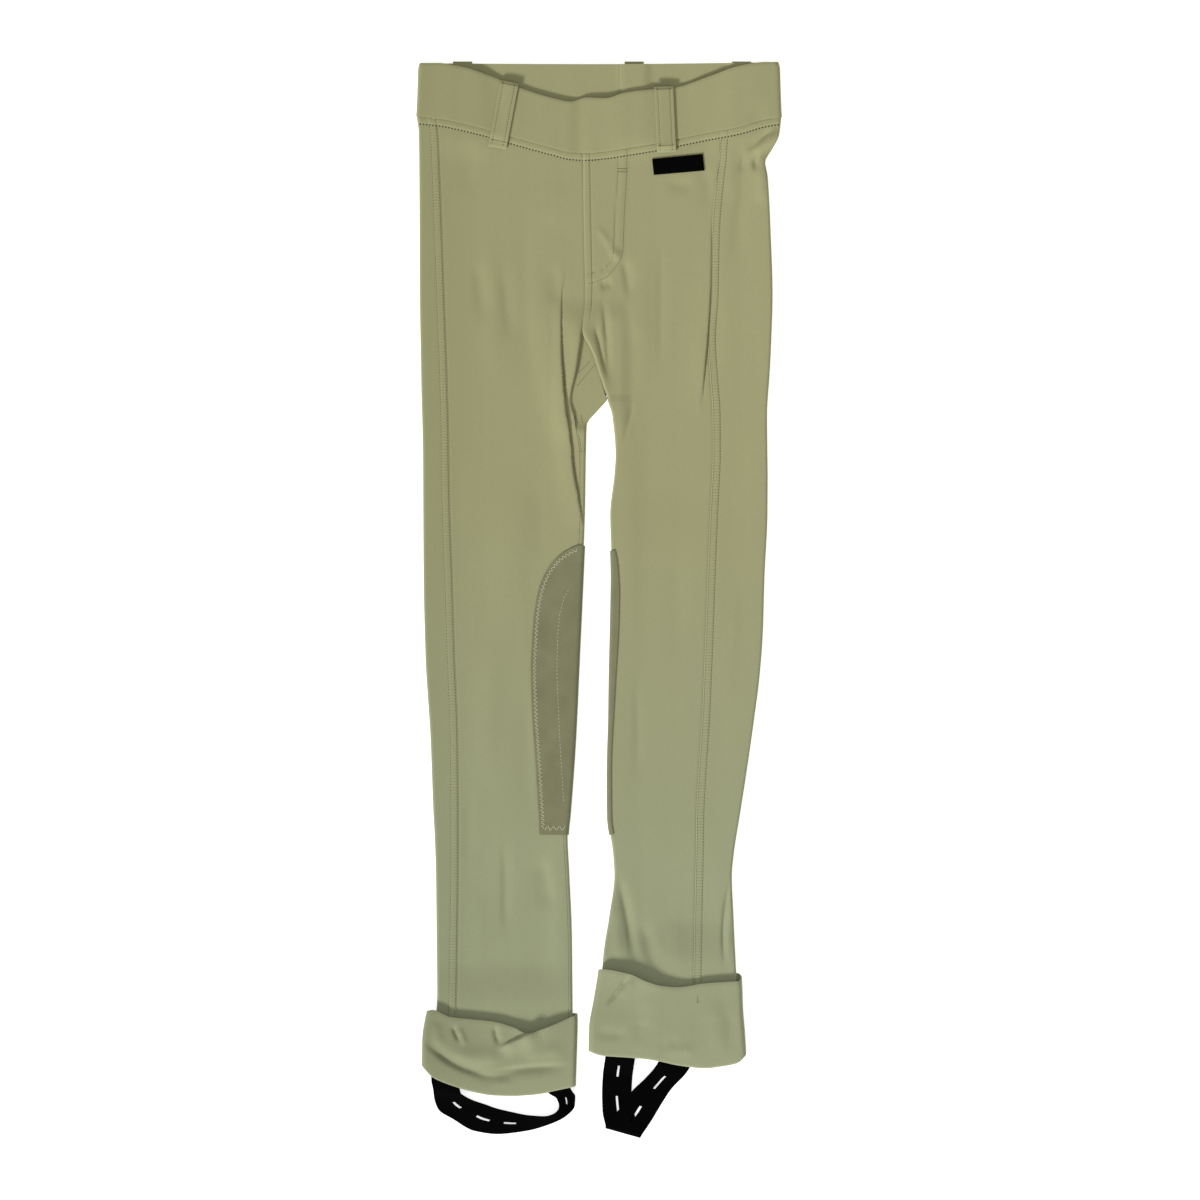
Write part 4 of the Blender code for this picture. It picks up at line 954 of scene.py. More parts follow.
def cuff(leg):
    """Turned-up hem: down outside the leg, round the bottom fold and up inside."""
    across = np.linspace(0.0, 1.0, 84)
    around = [("front", float(share)) for share in across]
    around += [("right", angle) for angle in (72.0, 54.0, 36.0, 18.0, 0.0, -18.0, -36.0, -54.0, -72.0)]
    around += [("back", 1.0 - float(share)) for share in across[::2]]
    around += [("left", angle) for angle in (-72.0, -54.0, -36.0, -18.0, 0.0, 18.0, 36.0, 54.0, 72.0)]
    shares = np.concatenate(([0.0, 0.01, 0.03], np.linspace(0.06, 1.0, 40)))
    levels = [(float(share), 0.0, 0.0) for share in shares]
    fold = PLY / 2
    for angle in (30.0, 60.0, 90.0, 120.0, 150.0, 180.0):
        turn = math.radians(angle)
        levels.append((1.0, fold * (1 - math.cos(turn)), -fold * math.sin(turn)))
    levels += [(1.0, PLY, rise) for rise in (3.0, 6.0, HEM_TURN - GAP)]
    raw = [cuff_point(leg, where, *level) for level in levels for where in around]
    places = np.array([point[0] for point in raw])
    turns = np.array([point[1] for point in raw])
    x = np.array([point[2] for point in raw])
    y = np.array([point[3] for point in raw])
    low = np.array([point[4] for point in raw])
    share = np.repeat([level[0] for level in levels], len(around))
    inset = np.repeat([level[1] for level in levels], len(around))
    free = np.where(inset > 0.0, 0.0, 1.0 - share ** 4)
    gape = CUFF_GAPE * cuff_gape(leg, x) * np.clip(1.0 - share / 0.5, 0.0, 1.0) ** 1.6
    roll = 0.4 * smooth_step(share, 0.025, 0.0)
    folds = fold_height(f"{leg.side}_cuff", x, y)
    high = CUFF_FRONT - inset + free * (CUFF_LIFT + folds + gape - roll)
    z = np.where(places == "front", high, low + (high - low) / 2 * (1 + np.sin(turns)))
    z = np.where(places == "back", low, z)
    points = np.stack((x, y, z), axis=1)
    quads = grid_quads(len(levels), len(around), closed=True)
    return add_sheet(f"cuff_{leg.side}_cloth", points, quads, CLOTH, "cuff_cloth")


def cuff_gape(leg, x):
    """How far each part of a cuff's top edge stands off the leg, from 0 to 1."""
    if leg is RIGHT:
        return 0.35 + 0.75 * smooth_step(np.abs(x + 48.0), 26.0, 4.0)
    return 0.35 + 0.65 * smooth_step(np.abs(x - 26.0), 44.0, 10.0)


def knee_patch(leg):
    """Suede patch round the inner knee, made from the leg's own points moved out."""
    y = np.linspace(leg.patch[0][0] - 0.05, leg.patch[-1][0], 110)
    edge = leg.inner(y)
    front = table_at(leg.patch, 1, y)
    under = table_at(leg.patch, 2, y)
    flat = edge - leg.inward * EDGE_RADIUS
    shares = np.linspace(1.0, 0.0, 26 if leg is RIGHT else 5)[None, :]
    front_x = flat[:, None] - leg.inward * np.maximum(front - 2.0, 0.4)[:, None] * shares
    rows = np.broadcast_to(y[:, None], front_x.shape)
    blocks = [(front_x, rows, front_height(leg, front_x, rows))]
    arc_x, arc_z = edge_arc(leg, edge, -leg.inward, y, (60.0, 30.0, 0.0, -30.0, -60.0))
    blocks.append((arc_x, y[:, None], arc_z))
    shares = np.linspace(0.0, 1.0, 18)[None, :]
    under_x = flat[:, None] - leg.inward * under[:, None] * shares
    rows = np.broadcast_to(y[:, None], under_x.shape)
    blocks.append((under_x, rows, back_height(leg, under_x, rows)))
    points, width = join_blocks(blocks)
    quads = grid_quads(len(y), width)
    normals = sheet_normals(points, quads)
    middle_column = (26 if leg is RIGHT else 5) + 2
    out = np.sign(normals[middle_column, 0] * leg.inward)
    moved = points + normals * out * (CLOTH / 2 + GAP + PATCH_CLOTH / 2)
    moved[:, 1] = points[:, 1]
    return add_sheet(f"knee_patch_{leg.side}_suede", moved, quads, PATCH_CLOTH, "knee_suede")


def loop_surface(name, spot_x, spot_y):
    """Middle of a front belt loop's cloth over the band and the panel below it."""
    leg = RIGHT if FRONT_LOOPS[name][0] < 0 else LEFT
    on_band = smooth_step(spot_y - waist_line(spot_x), -8.0, -0.5)
    band_top = band_height(spot_x, spot_y, True) + BAND_CLOTH / 2
    leg_top = top_of_panel(leg, spot_x, spot_y)
    return leg_top + (band_top - leg_top) * on_band + GAP + 0.3 + LOOP_CLOTH / 2


def loop_frame(name):
    """A front belt loop's upper end, direction, crosswise direction, length and width."""
    top_x, top_y, low_x, low_y, width = FRONT_LOOPS[name]
    along = np.array((low_x - top_x, low_y - top_y))
    length = float(np.linalg.norm(along))
    along = along / length
    return np.array((top_x, top_y)), along, np.array((-along[1], along[0])), length, width


def front_belt_loop(name):
    """A loop sewn over the waistband, its lower end turned under."""
    top, along, across, length, width = loop_frame(name)
    shares = np.concatenate(([0.0, 0.01, 0.03, 0.06], np.linspace(0.1, 0.9, 26), [0.94, 0.97, 0.99, 1.0]))
    sides = np.linspace(-0.5, 0.5, 17)
    s, v = np.meshgrid(shares, sides, indexing="ij")
    x = top[0] + along[0] * length * s + across[0] * width * v
    y = top[1] + along[1] * length * s + across[1] * width * v
    crown = 0.35 * (1.0 - (2.0 * v) ** 4)
    rows_of_sewing = -0.28 * np.exp(-((np.abs(v) - 0.31) * width / 0.6) ** 2)
    turned = 0.5 * smooth_step(s, 0.84, 0.9) + 0.4 * smooth_step(s, 0.07, 0.02)
    ends = -0.5 * smooth_step(s, 0.985, 1.0) - 1.4 * smooth_step(s, 0.05, 0.0)
    z = loop_surface(name, x, y) + crown + rows_of_sewing + turned + ends
    points = np.stack((x, y, z), axis=2).reshape(-1, 3)
    quads = grid_quads(len(shares), len(sides))
    return add_sheet(f"{name}_cloth", points, quads, LOOP_CLOTH, "band_cloth")


def back_belt_loop(name):
    """A loop under the back of the waistband, its end just over the top edge."""
    middle, width = BACK_LOOPS[name]
    shares = np.linspace(0.0, 1.0, 30)
    sides = np.linspace(-0.5, 0.5, 9)
    s, v = np.meshgrid(shares, sides, indexing="ij")
    x = middle + v * width
    y = BACK_LOOP_TOP + 0.5 + (BACK_LOOP_FOOT - BACK_LOOP_TOP) * s
    z = np.full(x.shape, LOOP_CLOTH / 2)
    points = np.stack((x, y, z), axis=2).reshape(-1, 3)
    quads = grid_quads(len(shares), len(sides))
    return add_sheet(f"{name}_cloth", points, quads, LOOP_CLOTH, "band_cloth")


def label():
    """Bare black woven label."""
    corners = np.array(LABEL_CORNERS)
    u, v = np.meshgrid(np.linspace(0.0, 1.0, 36), np.linspace(0.0, 1.0, 14), indexing="ij")
    low = corners[0] + (corners[1] - corners[0]) * u[..., None]
    high = corners[3] + (corners[2] - corners[3]) * u[..., None]
    spot = low + (high - low) * v[..., None]
    x, y = spot[..., 0], spot[..., 1]
    edge = np.minimum.reduce((u * 41.0, (1 - u) * 41.0, v * 14.0, (1 - v) * 14.0))
    z = front_height(LEFT, x, y) + CLOTH / 2 + GAP + LABEL_CLOTH / 2 + 0.35 * smooth_step(edge, 0.0, 1.6)
    points = np.stack((x, y, z), axis=2).reshape(-1, 3)
    return add_sheet("label_tape", points, grid_quads(36, 14), LABEL_CLOTH, "black_label")


def stirrup(leg, table, holes):
    """Ribbed elastic with worked buttonholes cut through its middle."""
    steps = np.arange(0.0, len(table) - 1 + 1e-9, 0.125)
    index = tuple((float(k),) + row for k, row in enumerate(table))
    columns = [table_at(index, k, steps) for k in range(1, 7)]
    sides = np.array((0.0, 0.03, 0.08, 0.16, 0.26, 0.36, 0.44, 0.5 - BUTTONHOLE_WIDTH, 0.5 + BUTTONHOLE_WIDTH,
                      0.56, 0.64, 0.74, 0.84, 0.92, 0.97, 1.0))
    x = columns[0][:, None] + (columns[2] - columns[0])[:, None] * sides
    y = columns[1][:, None] + (columns[3] - columns[1])[:, None] * sides
    z = columns[4][:, None] + (columns[5] - columns[4])[:, None] * sides
    slot_column = 7
    keep = np.ones((len(steps) - 1, len(sides) - 1), dtype=bool)
    middle = (steps[:-1] + steps[1:]) / 2
    for start, end in holes:
        keep[(middle > start) & (middle < end), slot_column] = False
    points = np.stack((x, y, z), axis=2).reshape(-1, 3)
    quads = grid_quads(len(steps), len(sides), keep)
    return add_sheet(f"stirrup_{leg.side}_elastic", points, quads, ELASTIC, "black_elastic")


def resample(path, pitch):
    """Points every pitch along a run of (x, y, z) points, with the direction at each."""
    path = np.asarray(path, dtype=float)
    steps = np.linalg.norm(np.diff(path[:, :2], axis=0), axis=1)
    length = np.concatenate(([0.0], np.cumsum(steps)))
    places = np.arange(pitch / 2, length[-1], pitch)
    spots = np.stack([np.interp(places, length, path[:, k]) for k in range(3)], axis=1)
    ahead = np.stack([np.interp(places + 0.4, length, path[:, k]) for k in range(3)], axis=1)
    behind = np.stack([np.interp(places - 0.4, length, path[:, k]) for k in range(3)], axis=1)
    return spots, ahead - behind


def stitch_mesh(starts, ends, width, height):
    """Small spindles of thread from starts to ends, lying on the cloth."""
    verts = []
    faces = []
    for a, b in zip(starts, ends):
        direction = b - a
        length = float(np.linalg.norm(direction))
        if length < 0.05:
            continue
        direction = direction / length
        across = np.array((-direction[1], direction[0], 0.0))
        across = across / max(float(np.linalg.norm(across)), 1e-9)
        up = np.array((0.0, 0.0, 1.0))
        first = len(verts)
        verts.append(a)
        for share in (0.22, 0.78):
            spot = a + direction * length * share
            verts += [spot + across * width / 2, spot + up * height]
            verts += [spot - across * width / 2, spot - up * height * 0.5]
        verts.append(b)
        for k in range(4):
            n = (k + 1) % 4
            faces.append((first, first + 1 + n, first + 1 + k))
            faces.append((first + 1 + k, first + 1 + n, first + 5 + n, first + 5 + k))
            faces.append((first + 5 + k, first + 5 + n, first + 9))
    return verts, faces


def sew(name, rows, material_name):
    """One object of thread from several rows of (path, kind, pitch, length, width, height)."""
    verts = []
    faces = []
    for path, kind, pitch, length, width, height in rows:
        spots, heading = resample(path, pitch)
        heading = heading / np.linalg.norm(heading, axis=1)[:, None]
        side = np.stack((-heading[:, 1], heading[:, 0], np.zeros(len(heading))), axis=1)
        if kind == "run":
            starts = spots - heading * length / 2
            ends = spots + heading * length / 2
        elif kind == "rung":
            starts = spots - side * length / 2
            ends = spots + side * length / 2
        else:
            sign = np.where(np.arange(len(spots)) % 2 == 0, 1.0, -1.0)[:, None]
            starts = spots - heading * pitch / 2 - side * sign * length / 2
            ends = spots + heading * pitch / 2 + side * sign * length / 2
        made, made_faces = stitch_mesh(starts, ends, width, height)
        offset = len(verts)
        verts += made
        faces += [tuple(i + offset for i in face) for face in made_faces]
    return add_mesh(name, verts, faces, material_name)


def on_panel(leg, xs, ys, lift=0.05):
    """A path's points on the outer surface of the front layer."""
    xs = np.asarray(xs, dtype=float)
    ys = np.asarray(ys, dtype=float)
    return np.stack((xs, ys, top_of_panel(leg, xs, ys) + lift), axis=1)


def smooth_path(points, step=2.0):
    """More points on straight runs between a path's own."""
    points = np.asarray(points, dtype=float)
    length = np.concatenate(([0.0], np.cumsum(np.linalg.norm(np.diff(points, axis=0), axis=1))))
    places = np.arange(0.0, length[-1], step)
    return np.stack([np.interp(places, length, points[:, k]) for k in range(2)], axis=1)


def waist_stitching():
    """Cover stitch under the waistband, on each leg's side of the centre, in near-black thread that paints
    the shade of its needle holes.
    """
    rows = []
    for leg, low, high in ((RIGHT, -146.0, -13.0), (LEFT, -12.0, 146.0)):
        x = np.linspace(low, high, 160)
        y = waist_line(x) - WAIST_ALLOWANCE
        rows.append((on_panel(leg, x, y, 0.22), *WAIST_ROW))
    return sew("waist_stitching", rows, "dark_thread")


def back_band_stitching():
    """Two rows beside the seam in the middle of the back waistband."""
    y = np.linspace(WAIST_SEAM + 3.0, BACK_BAND_TOP[1][1] - 1.0, 20)
    rows = []
    for offset in (-2.0, 2.0):
        x = np.full(20, BACK_SEAM_TOP + offset)
        z = band_height(x, y, False) + BAND_CLOTH / 2 + 0.05
        rows.append((np.stack((x, y, z), axis=1), *BAND_ROW))
    return sew("back_band_stitching", rows, "cloth_thread")


def cuff_stitching():
    """The end of the hem's stitching, which shows on the left cuff."""
    x = np.full(6, 79.8)
    y = np.linspace(-317.6, -325.4, 6)
    z = CUFF_FRONT + CUFF_LIFT + fold_height("left_cuff", x, y) + CLOTH / 2 + 0.6
    row = (np.stack((x, y, z), axis=1), *CUFF_ROW)
    return sew("cuff_left_stitching", [row], "dark_thread")


def side_stitching(leg):
    """Cover stitch down the side seam: a row beside the seam, one past the allowance, rungs between."""
    y = np.linspace(WAIST_SEAM - 17.0, leg.cuff_top - 14.0, 330)
    if leg is RIGHT:
        y = np.linspace(WAIST_SEAM - 6.0, leg.cuff_top - 8.0, 330)
    seam = leg.side_seam(y)
    rows = [
        (on_panel(leg, seam - leg.inward * ALLOWANCE, y), *ALLOWANCE_ROW),
        (on_panel(leg, seam - leg.inward * BESIDE_SEAM, y), *SIDE_ROW),
    ]
    between = seam - leg.inward * (ALLOWANCE + BESIDE_SEAM) / 2
    rungs = (on_panel(leg, between, y, -0.05), *SIDE_RUNGS)
    return [
        sew(f"side_stitching_{leg.side}", rows, "seam_thread"),
        sew(f"side_rungs_{leg.side}", [rungs], "cloth_thread"),
    ]


def fly_stitching():
    """Rows beside the centre seam and round the mock fly, with its bar tack."""
    y = np.linspace(*CENTRE_ROW_ENDS, 80)
    beside = on_panel(LEFT, LEFT.front_inner(y) + BESIDE_CENTRE, y)
    inner = smooth_path(FLY_INNER)
    outer = smooth_path(FLY_OUTER)
    rows = [
        (beside, *SEAM_ROW),
        (on_panel(LEFT, inner[:, 0], inner[:, 1]), *TOP_ROW),
        (on_panel(LEFT, outer[:, 0], outer[:, 1]), *FLY_EDGE_ROW),
    ]
    tack_x = np.linspace(15.0, 23.0, 6)
    for tack_y in (346.5, 349.0):
        rows.append((on_panel(LEFT, tack_x, np.full(6, tack_y), 0.1), *FLY_TACK))
    return sew("fly_stitching", rows, "seam_thread")


def inseam_stitching():
    """Twin rows of the right inseam: on the leg below the crotch and across the tongue."""
    y = np.linspace(150.0, 120.0, 16)
    rows = []
    for offset in (1.2, 6.0):
        x = np.minimum(RIGHT.front_inner(y) + offset, RIGHT.inner(y) - 0.8)
        z = tongue_top(y)
        rows.append((np.stack((x, y, z), axis=1), *SEAM_ROW))
    for start, end in (((-17.0, 183.4), (-7.6, 192.8)), ((-17.8, 173.2), (-3.6, 190.0))):
        x = np.linspace(start[0], end[0], 10)
        line_y = np.linspace(start[1], end[1], 10)
        z = np.full(10, CLOTH / 2 + PLY + 0.2 + CLOTH / 2 + 0.05)
        rows.append((np.stack((x, line_y, z), axis=1), *TONGUE_ROW))
    return sew("inseam_stitching", rows, "seam_thread")


def tongue_top(y):
    """Outer surface of the right back's cloth where it comes over the inner edge."""
    inner = RIGHT.inner(y)
    low = back_height(RIGHT, inner - EDGE_RADIUS, y)
    edge_top = front_height(RIGHT, inner - EDGE_RADIUS, y)
    high = edge_top + (low + PLY + 0.2 - edge_top) * smooth_step(y, 132.0, 142.0)
    return high + CLOTH / 2 + 0.05


def patch_top(leg, x, y):
    """Outer surface of a knee patch."""
    return front_height(leg, x, y) + CLOTH / 2 + GAP + PATCH_CLOTH


def patch_stitching():
    """Pale zigzag inside the right patch's edge, larger along its foot, and a line of dashes."""
    y = np.concatenate((np.linspace(43.6, 36.0, 30), np.linspace(35.6, -184.0, 180)))
    reach = table_at(RIGHT_PATCH, 1, y)
    outline = np.stack((RIGHT.inner(y) - EDGE_RADIUS - (reach - 2.0), y), axis=1)
    ahead = np.gradient(outline, axis=0)
    ahead = ahead / np.linalg.norm(ahead, axis=1)[:, None]
    edge = outline + PATCH_SEAM * np.stack((-ahead[:, 1], ahead[:, 0]), axis=1)
    foot_x = np.linspace(-44.0, -28.4, 12)
    foot_y = np.full(12, -184.6)
    dash = smooth_path(PATCH_DASHES)
    rows = []
    for path, kind, pitch, length, width in (
        (edge, "zigzag", 1.6, 3.0, 0.5),
        (np.stack((foot_x, foot_y), axis=1), "zigzag", 2.4, 4.0, 0.55),
        (dash, "run", 3.0, 1.9, 0.5),
    ):
        z = patch_top(RIGHT, path[:, 0], path[:, 1]) + 0.05
        rows.append((np.column_stack((path, z)), kind, pitch, length, width, 0.25))
    return sew("knee_patch_right_stitching", rows, "pale_thread")


def loop_stitching(name):
    """Two rows down a front belt loop and a bar tack at each end."""
    top, along, across, length, width = loop_frame(name)
    rows = []
    for side in (-0.31, 0.31):
        s = np.linspace(0.03, 0.97, 40)
        x = top[0] + along[0] * length * s + across[0] * width * side
        y = top[1] + along[1] * length * s + across[1] * width * side
        z = loop_surface(name, x, y) + LOOP_CLOTH / 2 + 0.15 + 0.5 * smooth_step(s, 0.84, 0.9)
        rows.append((np.stack((x, y, z), axis=1), *TOP_ROW))
    for s in (0.045, 0.9):
        v = np.linspace(-0.42, 0.42, 8)
        x = top[0] + along[0] * length * s + across[0] * width * v
        y = top[1] + along[1] * length * s + across[1] * width * v
        z = loop_surface(name, x, y) + LOOP_CLOTH / 2 + 0.35 + 0.5 * float(smooth_step(s, 0.84, 0.9))
        rows.append((np.stack((x, y, z), axis=1), *LOOP_TACK))
    return sew(f"{name}_stitching", rows, "seam_thread")


def new_material(name):
    """A material with its nodes, links, surface and a node for places on the object."""
    mat = bpy.data.materials.new(name)
    mat.use_nodes = True
    nodes = mat.node_tree.nodes
    return mat, nodes, mat.node_tree.links, nodes["Principled BSDF"], nodes.new("ShaderNodeTexCoord")


def cloth_material(name, dark, light, roughness=0.9, sheen=0.15, grain=0.06):
    """Matt stretch cloth: slow mottling, a greener lower leg, painted shade on the wearer's right and painted
    light on the wearer's left, a fine knit.
    """
    mat, nodes, links, surface, place = new_material(name)
    slow = nodes.new("ShaderNodeTexNoise")
    slow.inputs["Scale"].default_value = 22.0
    slow.inputs["Detail"].default_value = 5.0
    links.new(place.outputs["Object"], slow.inputs["Vector"])
    ramp = nodes.new("ShaderNodeValToRGB")
    ramp.color_ramp.elements[0].color = (*dark, 1.0)
    ramp.color_ramp.elements[1].color = (*light, 1.0)
    split = nodes.new("ShaderNodeSeparateXYZ")
    links.new(place.outputs["Object"], split.inputs["Vector"])
    # Painted light and shade: the ramp climbs from dark on the wearer's right to light on the wearer's left,
    # as the light falls across the garment.
    near = nodes.new("ShaderNodeMapRange")
    near.inputs["From Min"].default_value = -0.148
    near.inputs["From Max"].default_value = -0.09
    near.inputs["To Max"].default_value = 0.55
    links.new(split.outputs["X"], near.inputs["Value"])
    far = nodes.new("ShaderNodeMapRange")
    far.inputs["From Min"].default_value = -0.09
    far.inputs["From Max"].default_value = 0.13
    far.inputs["To Max"].default_value = 0.3
    links.new(split.outputs["X"], far.inputs["Value"])
    both = nodes.new("ShaderNodeMath")
    both.operation = "ADD"
    links.new(near.outputs["Result"], both.inputs[0])
    links.new(far.outputs["Result"], both.inputs[1])
    blend = nodes.new("ShaderNodeMath")
    blend.operation = "MULTIPLY_ADD"
    blend.inputs[1].default_value = 0.2
    links.new(slow.outputs["Fac"], blend.inputs[0])
    links.new(both.outputs["Value"], blend.inputs[2])
    links.new(blend.outputs["Value"], ramp.inputs["Fac"])
    down = nodes.new("ShaderNodeMapRange")
    down.inputs["From Min"].default_value = 0.1
    down.inputs["From Max"].default_value = -0.26
    links.new(split.outputs["Y"], down.inputs["Value"])
    greener = nodes.new("ShaderNodeMix")
    greener.data_type = "RGBA"
    greener.blend_type = "MULTIPLY"
    greener.inputs[7].default_value = LOWER_TINT
    links.new(down.outputs["Result"], greener.inputs[0])
    links.new(ramp.outputs["Color"], greener.inputs[6])
    fine = nodes.new("ShaderNodeTexNoise")
    fine.inputs["Scale"].default_value = 900.0
    fine.inputs["Detail"].default_value = 2.0
    stretched = nodes.new("ShaderNodeMapping")
    stretched.inputs["Scale"].default_value = (1.0, 0.45, 1.0)
    links.new(place.outputs["Object"], stretched.inputs["Vector"])
    links.new(stretched.outputs["Vector"], fine.inputs["Vector"])
    speck = nodes.new("ShaderNodeMix")
    speck.data_type = "RGBA"
    speck.blend_type = "OVERLAY"
    speck.inputs[0].default_value = grain
    links.new(greener.outputs[2], speck.inputs[6])
    links.new(fine.outputs["Fac"], speck.inputs[7])
    links.new(speck.outputs[2], surface.inputs["Base Color"])
    bump = nodes.new("ShaderNodeBump")
    bump.inputs["Strength"].default_value = 0.12
    bump.inputs["Distance"].default_value = 0.0003
    links.new(fine.outputs["Fac"], bump.inputs["Height"])
    wave = nodes.new("ShaderNodeTexNoise")
    wave.inputs["Scale"].default_value = 60.0
    wave.inputs["Detail"].default_value = 2.0
    long_way = nodes.new("ShaderNodeMapping")
    long_way.inputs["Scale"].default_value = (1.0, 0.1, 1.0)
    links.new(place.outputs["Object"], long_way.inputs["Vector"])
    links.new(long_way.outputs["Vector"], wave.inputs["Vector"])
    ripple = nodes.new("ShaderNodeBump")
    ripple.inputs["Strength"].default_value = 0.3
    ripple.inputs["Distance"].default_value = 0.0012
    links.new(wave.outputs["Fac"], ripple.inputs["Height"])
    links.new(ripple.outputs["Normal"], bump.inputs["Normal"])
    links.new(bump.outputs["Normal"], surface.inputs["Normal"])
    surface.inputs["Roughness"].default_value = roughness
    surface.inputs["Sheen Weight"].default_value = sheen
    surface.inputs["Sheen Roughness"].default_value = 0.5
    surface.inputs["Specular IOR Level"].default_value = 0.2
    return mat


def thread_material(name, colour):
    """Spun thread: one colour with a little variation along its plies."""
    mat, nodes, links, surface, place = new_material(name)
    noise = nodes.new("ShaderNodeTexNoise")
    noise.inputs["Scale"].default_value = 700.0
    links.new(place.outputs["Object"], noise.inputs["Vector"])
    ramp = nodes.new("ShaderNodeValToRGB")
    ramp.color_ramp.elements[0].color = tuple(c * 0.8 for c in colour) + (1.0,)
    ramp.color_ramp.elements[1].color = tuple(min(1.0, c * 1.2) for c in colour) + (1.0,)
    links.new(noise.outputs["Fac"], ramp.inputs["Fac"])
    links.new(ramp.outputs["Color"], surface.inputs["Base Color"])
    surface.inputs["Roughness"].default_value = 0.7
    surface.inputs["Sheen Weight"].default_value = 0.2
    return mat


def suede_material(name, dark, light):
    """Brushed suede: a soft patchy nap with a fine fibrous bump."""
    mat, nodes, links, surface, place = new_material(name)
    patchy = nodes.new("ShaderNodeTexNoise")
    patchy.inputs["Scale"].default_value = 60.0
    patchy.inputs["Detail"].default_value = 8.0
    links.new(place.outputs["Object"], patchy.inputs["Vector"])
    ramp = nodes.new("ShaderNodeValToRGB")
    ramp.color_ramp.elements[0].position = 0.32
    ramp.color_ramp.elements[1].position = 0.68
    ramp.color_ramp.elements[0].color = (*dark, 1.0)
    ramp.color_ramp.elements[1].color = (*light, 1.0)
    links.new(patchy.outputs["Fac"], ramp.inputs["Fac"])
    links.new(ramp.outputs["Color"], surface.inputs["Base Color"])
    fibres = nodes.new("ShaderNodeTexNoise")
    fibres.inputs["Scale"].default_value = 1100.0
    links.new(place.outputs["Object"], fibres.inputs["Vector"])
    bump = nodes.new("ShaderNodeBump")
    bump.inputs["Strength"].default_value = 0.5
    bump.inputs["Distance"].default_value = 0.0004
    links.new(fibres.outputs["Fac"], bump.inputs["Height"])
    links.new(bump.outputs["Normal"], surface.inputs["Normal"])
    surface.inputs["Roughness"].default_value = 0.95
    surface.inputs["Sheen Weight"].default_value = 0.3
    surface.inputs["Specular IOR Level"].default_value = 0.1
    return mat


def ribbed_material(name, dark, light, scale):
    """Woven black tape or elastic: fine ribs in colour and bump."""
    mat, nodes, links, surface, place = new_material(name)
    ribs = nodes.new("ShaderNodeTexWave")
    ribs.inputs["Scale"].default_value = scale
    ribs.inputs["Distortion"].default_value = 0.6
    ribs.bands_direction = "DIAGONAL"
    links.new(place.outputs["Object"], ribs.inputs["Vector"])
    ramp = nodes.new("ShaderNodeValToRGB")
    ramp.color_ramp.elements[0].color = (*dark, 1.0)
    ramp.color_ramp.elements[1].color = (*light, 1.0)
    links.new(ribs.outputs["Fac"], ramp.inputs["Fac"])
    links.new(ramp.outputs["Color"], surface.inputs["Base Color"])
    bump = nodes.new("ShaderNodeBump")
    bump.inputs["Strength"].default_value = 0.4
    bump.inputs["Distance"].default_value = 0.0003
    links.new(ribs.outputs["Fac"], bump.inputs["Height"])
    links.new(bump.outputs["Normal"], surface.inputs["Normal"])
    surface.inputs["Roughness"].default_value = 0.6
    surface.inputs["Specular IOR Level"].default_value = 0.012
    return mat


def make_materials():
    """Every material by the name that the pieces ask for."""
    # Cloth, band and cuff carry painted shade on the wearer's right and painted light on the wearer's left.
    cloth_material("olive_cloth", CLOTH_DARK, CLOTH_LIGHT)
    cloth_material("band_cloth", BAND_DARK, BAND_LIGHT)
    cloth_material("cuff_cloth", CUFF_DARK, CUFF_LIGHT)
    suede_material("knee_suede", SUEDE_DARK, SUEDE_LIGHT)
    ribbed_material("black_elastic", BLACK_DARK, BLACK_LIGHT, 260.0)
    ribbed_material("black_label", BLACK_DARK, BLACK_LIGHT, 420.0)
    # Near-black thread: along the waist its darkness is painted shade of the needle holes.
    thread_material("dark_thread", (0.04, 0.038, 0.014))
    thread_material("seam_thread", (0.13, 0.12, 0.05))
    thread_material("cloth_thread", (0.30, 0.30, 0.155))
    thread_material("pale_thread", (0.50, 0.49, 0.33))


def make_pieces():
    """Every shell stands for its solid, which is hidden."""
    pieces = {}
    for leg in (RIGHT, LEFT):
        pieces[f"front_{leg.side}"] = front_panel(leg)
        pieces[f"back_{leg.side}"] = back_panel(leg)
        pieces[f"cuff_{leg.side}"] = cuff(leg)
        pieces[f"knee_patch_{leg.side}"] = knee_patch(leg)
    pieces["waistband"] = waistband()
    for name in FRONT_LOOPS:
        pieces[name] = front_belt_loop(name)
    for name in BACK_LOOPS:
        pieces[name] = back_belt_loop(name)
    pieces["label"] = label()
    pieces["stirrup_right"] = stirrup(RIGHT, RIGHT_STIRRUP, RIGHT_HOLES)
    pieces["stirrup_left"] = stirrup(LEFT, LEFT_STIRRUP, LEFT_HOLES)
    for node, obj in pieces.items():
        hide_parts(node)
    return pieces


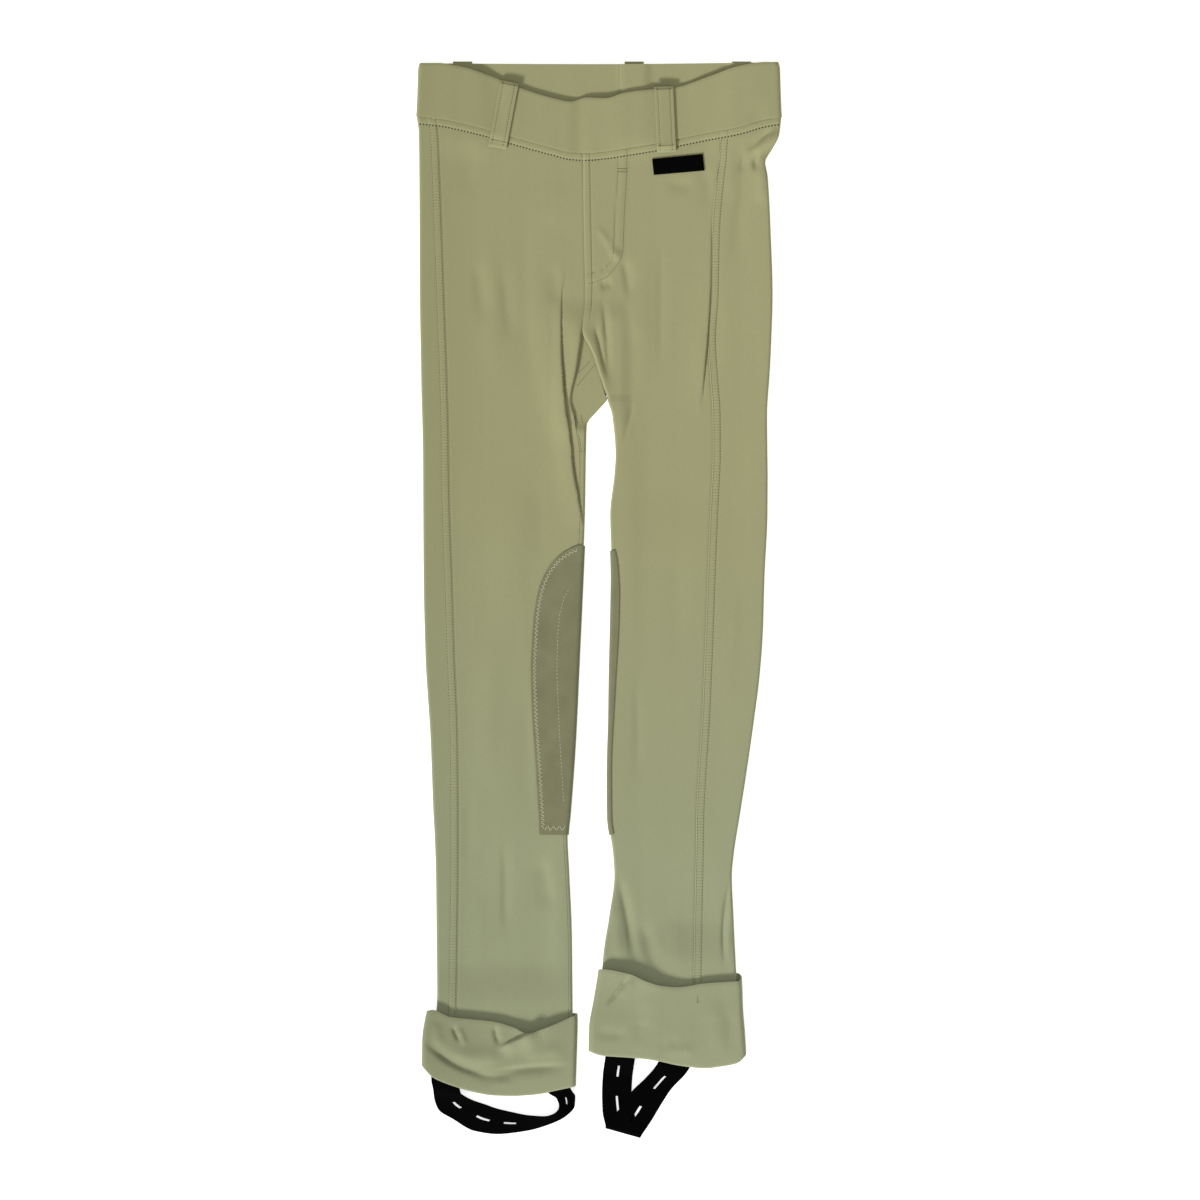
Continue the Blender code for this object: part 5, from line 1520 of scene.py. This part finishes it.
def make_floor():
    """Plain pale surface that the garment lies on."""
    mat = bpy.data.materials.new("pale_floor")
    mat.use_nodes = True
    surface = mat.node_tree.nodes["Principled BSDF"]
    surface.inputs["Base Color"].default_value = (0.9, 0.9, 0.9, 1.0)
    surface.inputs["Roughness"].default_value = 0.9
    surface.inputs["Emission Color"].default_value = (1.0, 1.0, 1.0, 1.0)
    surface.inputs["Emission Strength"].default_value = FLOOR_GLOW
    mesh = bpy.data.meshes.new("floor")
    reach = 3.0
    corners = [(-reach, -reach, 0), (reach, -reach, 0), (reach, reach, 0), (-reach, reach, 0)]
    mesh.from_pydata(corners, [], [(0, 1, 2, 3)])
    mesh.materials.append(mat)
    floor = bpy.data.objects.new("floor", mesh)
    floor.location.z = -0.0002
    bpy.context.scene.collection.objects.link(floor)


def overhead_light():
    """A square soft light straight above, facing down."""
    data = bpy.data.lights.new("overhead", "AREA")
    data.shape = "SQUARE"
    data.size = OVERHEAD_SIZE
    data.energy = OVERHEAD_POWER
    light = bpy.data.objects.new("overhead", data)
    light.location = (0.0, 0.0, OVERHEAD_HEIGHT)
    bpy.context.scene.collection.objects.link(light)


def key_light():
    """An even light from far off, low over the hems."""
    data = bpy.data.lights.new("key", "SUN")
    data.energy = KEY_STRENGTH
    data.angle = math.radians(KEY_SOFTNESS)
    light = bpy.data.objects.new("key", data)
    turn = math.atan2(KEY_FROM[1], KEY_FROM[0]) + math.pi / 2
    light.rotation_euler = (math.radians(90.0 - KEY_HEIGHT), 0.0, turn)
    bpy.context.scene.collection.objects.link(light)


def make_light_and_camera():
    """Soft light mostly from above and from the hems' side; the camera looks straight down."""
    scene = bpy.context.scene
    world = bpy.data.worlds.new("studio")
    world.use_nodes = True
    background = world.node_tree.nodes["Background"]
    background.inputs["Color"].default_value = (1.0, 1.0, 1.0, 1.0)
    background.inputs["Strength"].default_value = WORLD_STRENGTH
    scene.world = world
    overhead_light()
    key_light()
    data = bpy.data.cameras.new("camera")
    data.sensor_width = 36.0
    data.lens = data.sensor_width * CAMERA_HEIGHT / FRAME_WIDTH
    camera = bpy.data.objects.new("camera", data)
    camera.location = (PHOTO_PIXEL * MM, 0.0, CAMERA_HEIGHT)
    bpy.context.scene.collection.objects.link(camera)
    scene.camera = camera
    scene.view_settings.view_transform = "Standard"


def make_stitching():
    """Thread on the sewn pieces."""
    waist_stitching()
    back_band_stitching()
    cuff_stitching()
    for leg in (RIGHT, LEFT):
        side_stitching(leg)
    fly_stitching()
    inseam_stitching()
    patch_stitching()
    for name in FRONT_LOOPS:
        loop_stitching(name)


make_materials()
pieces = make_pieces()
make_stitching()
make_floor()
make_light_and_camera()
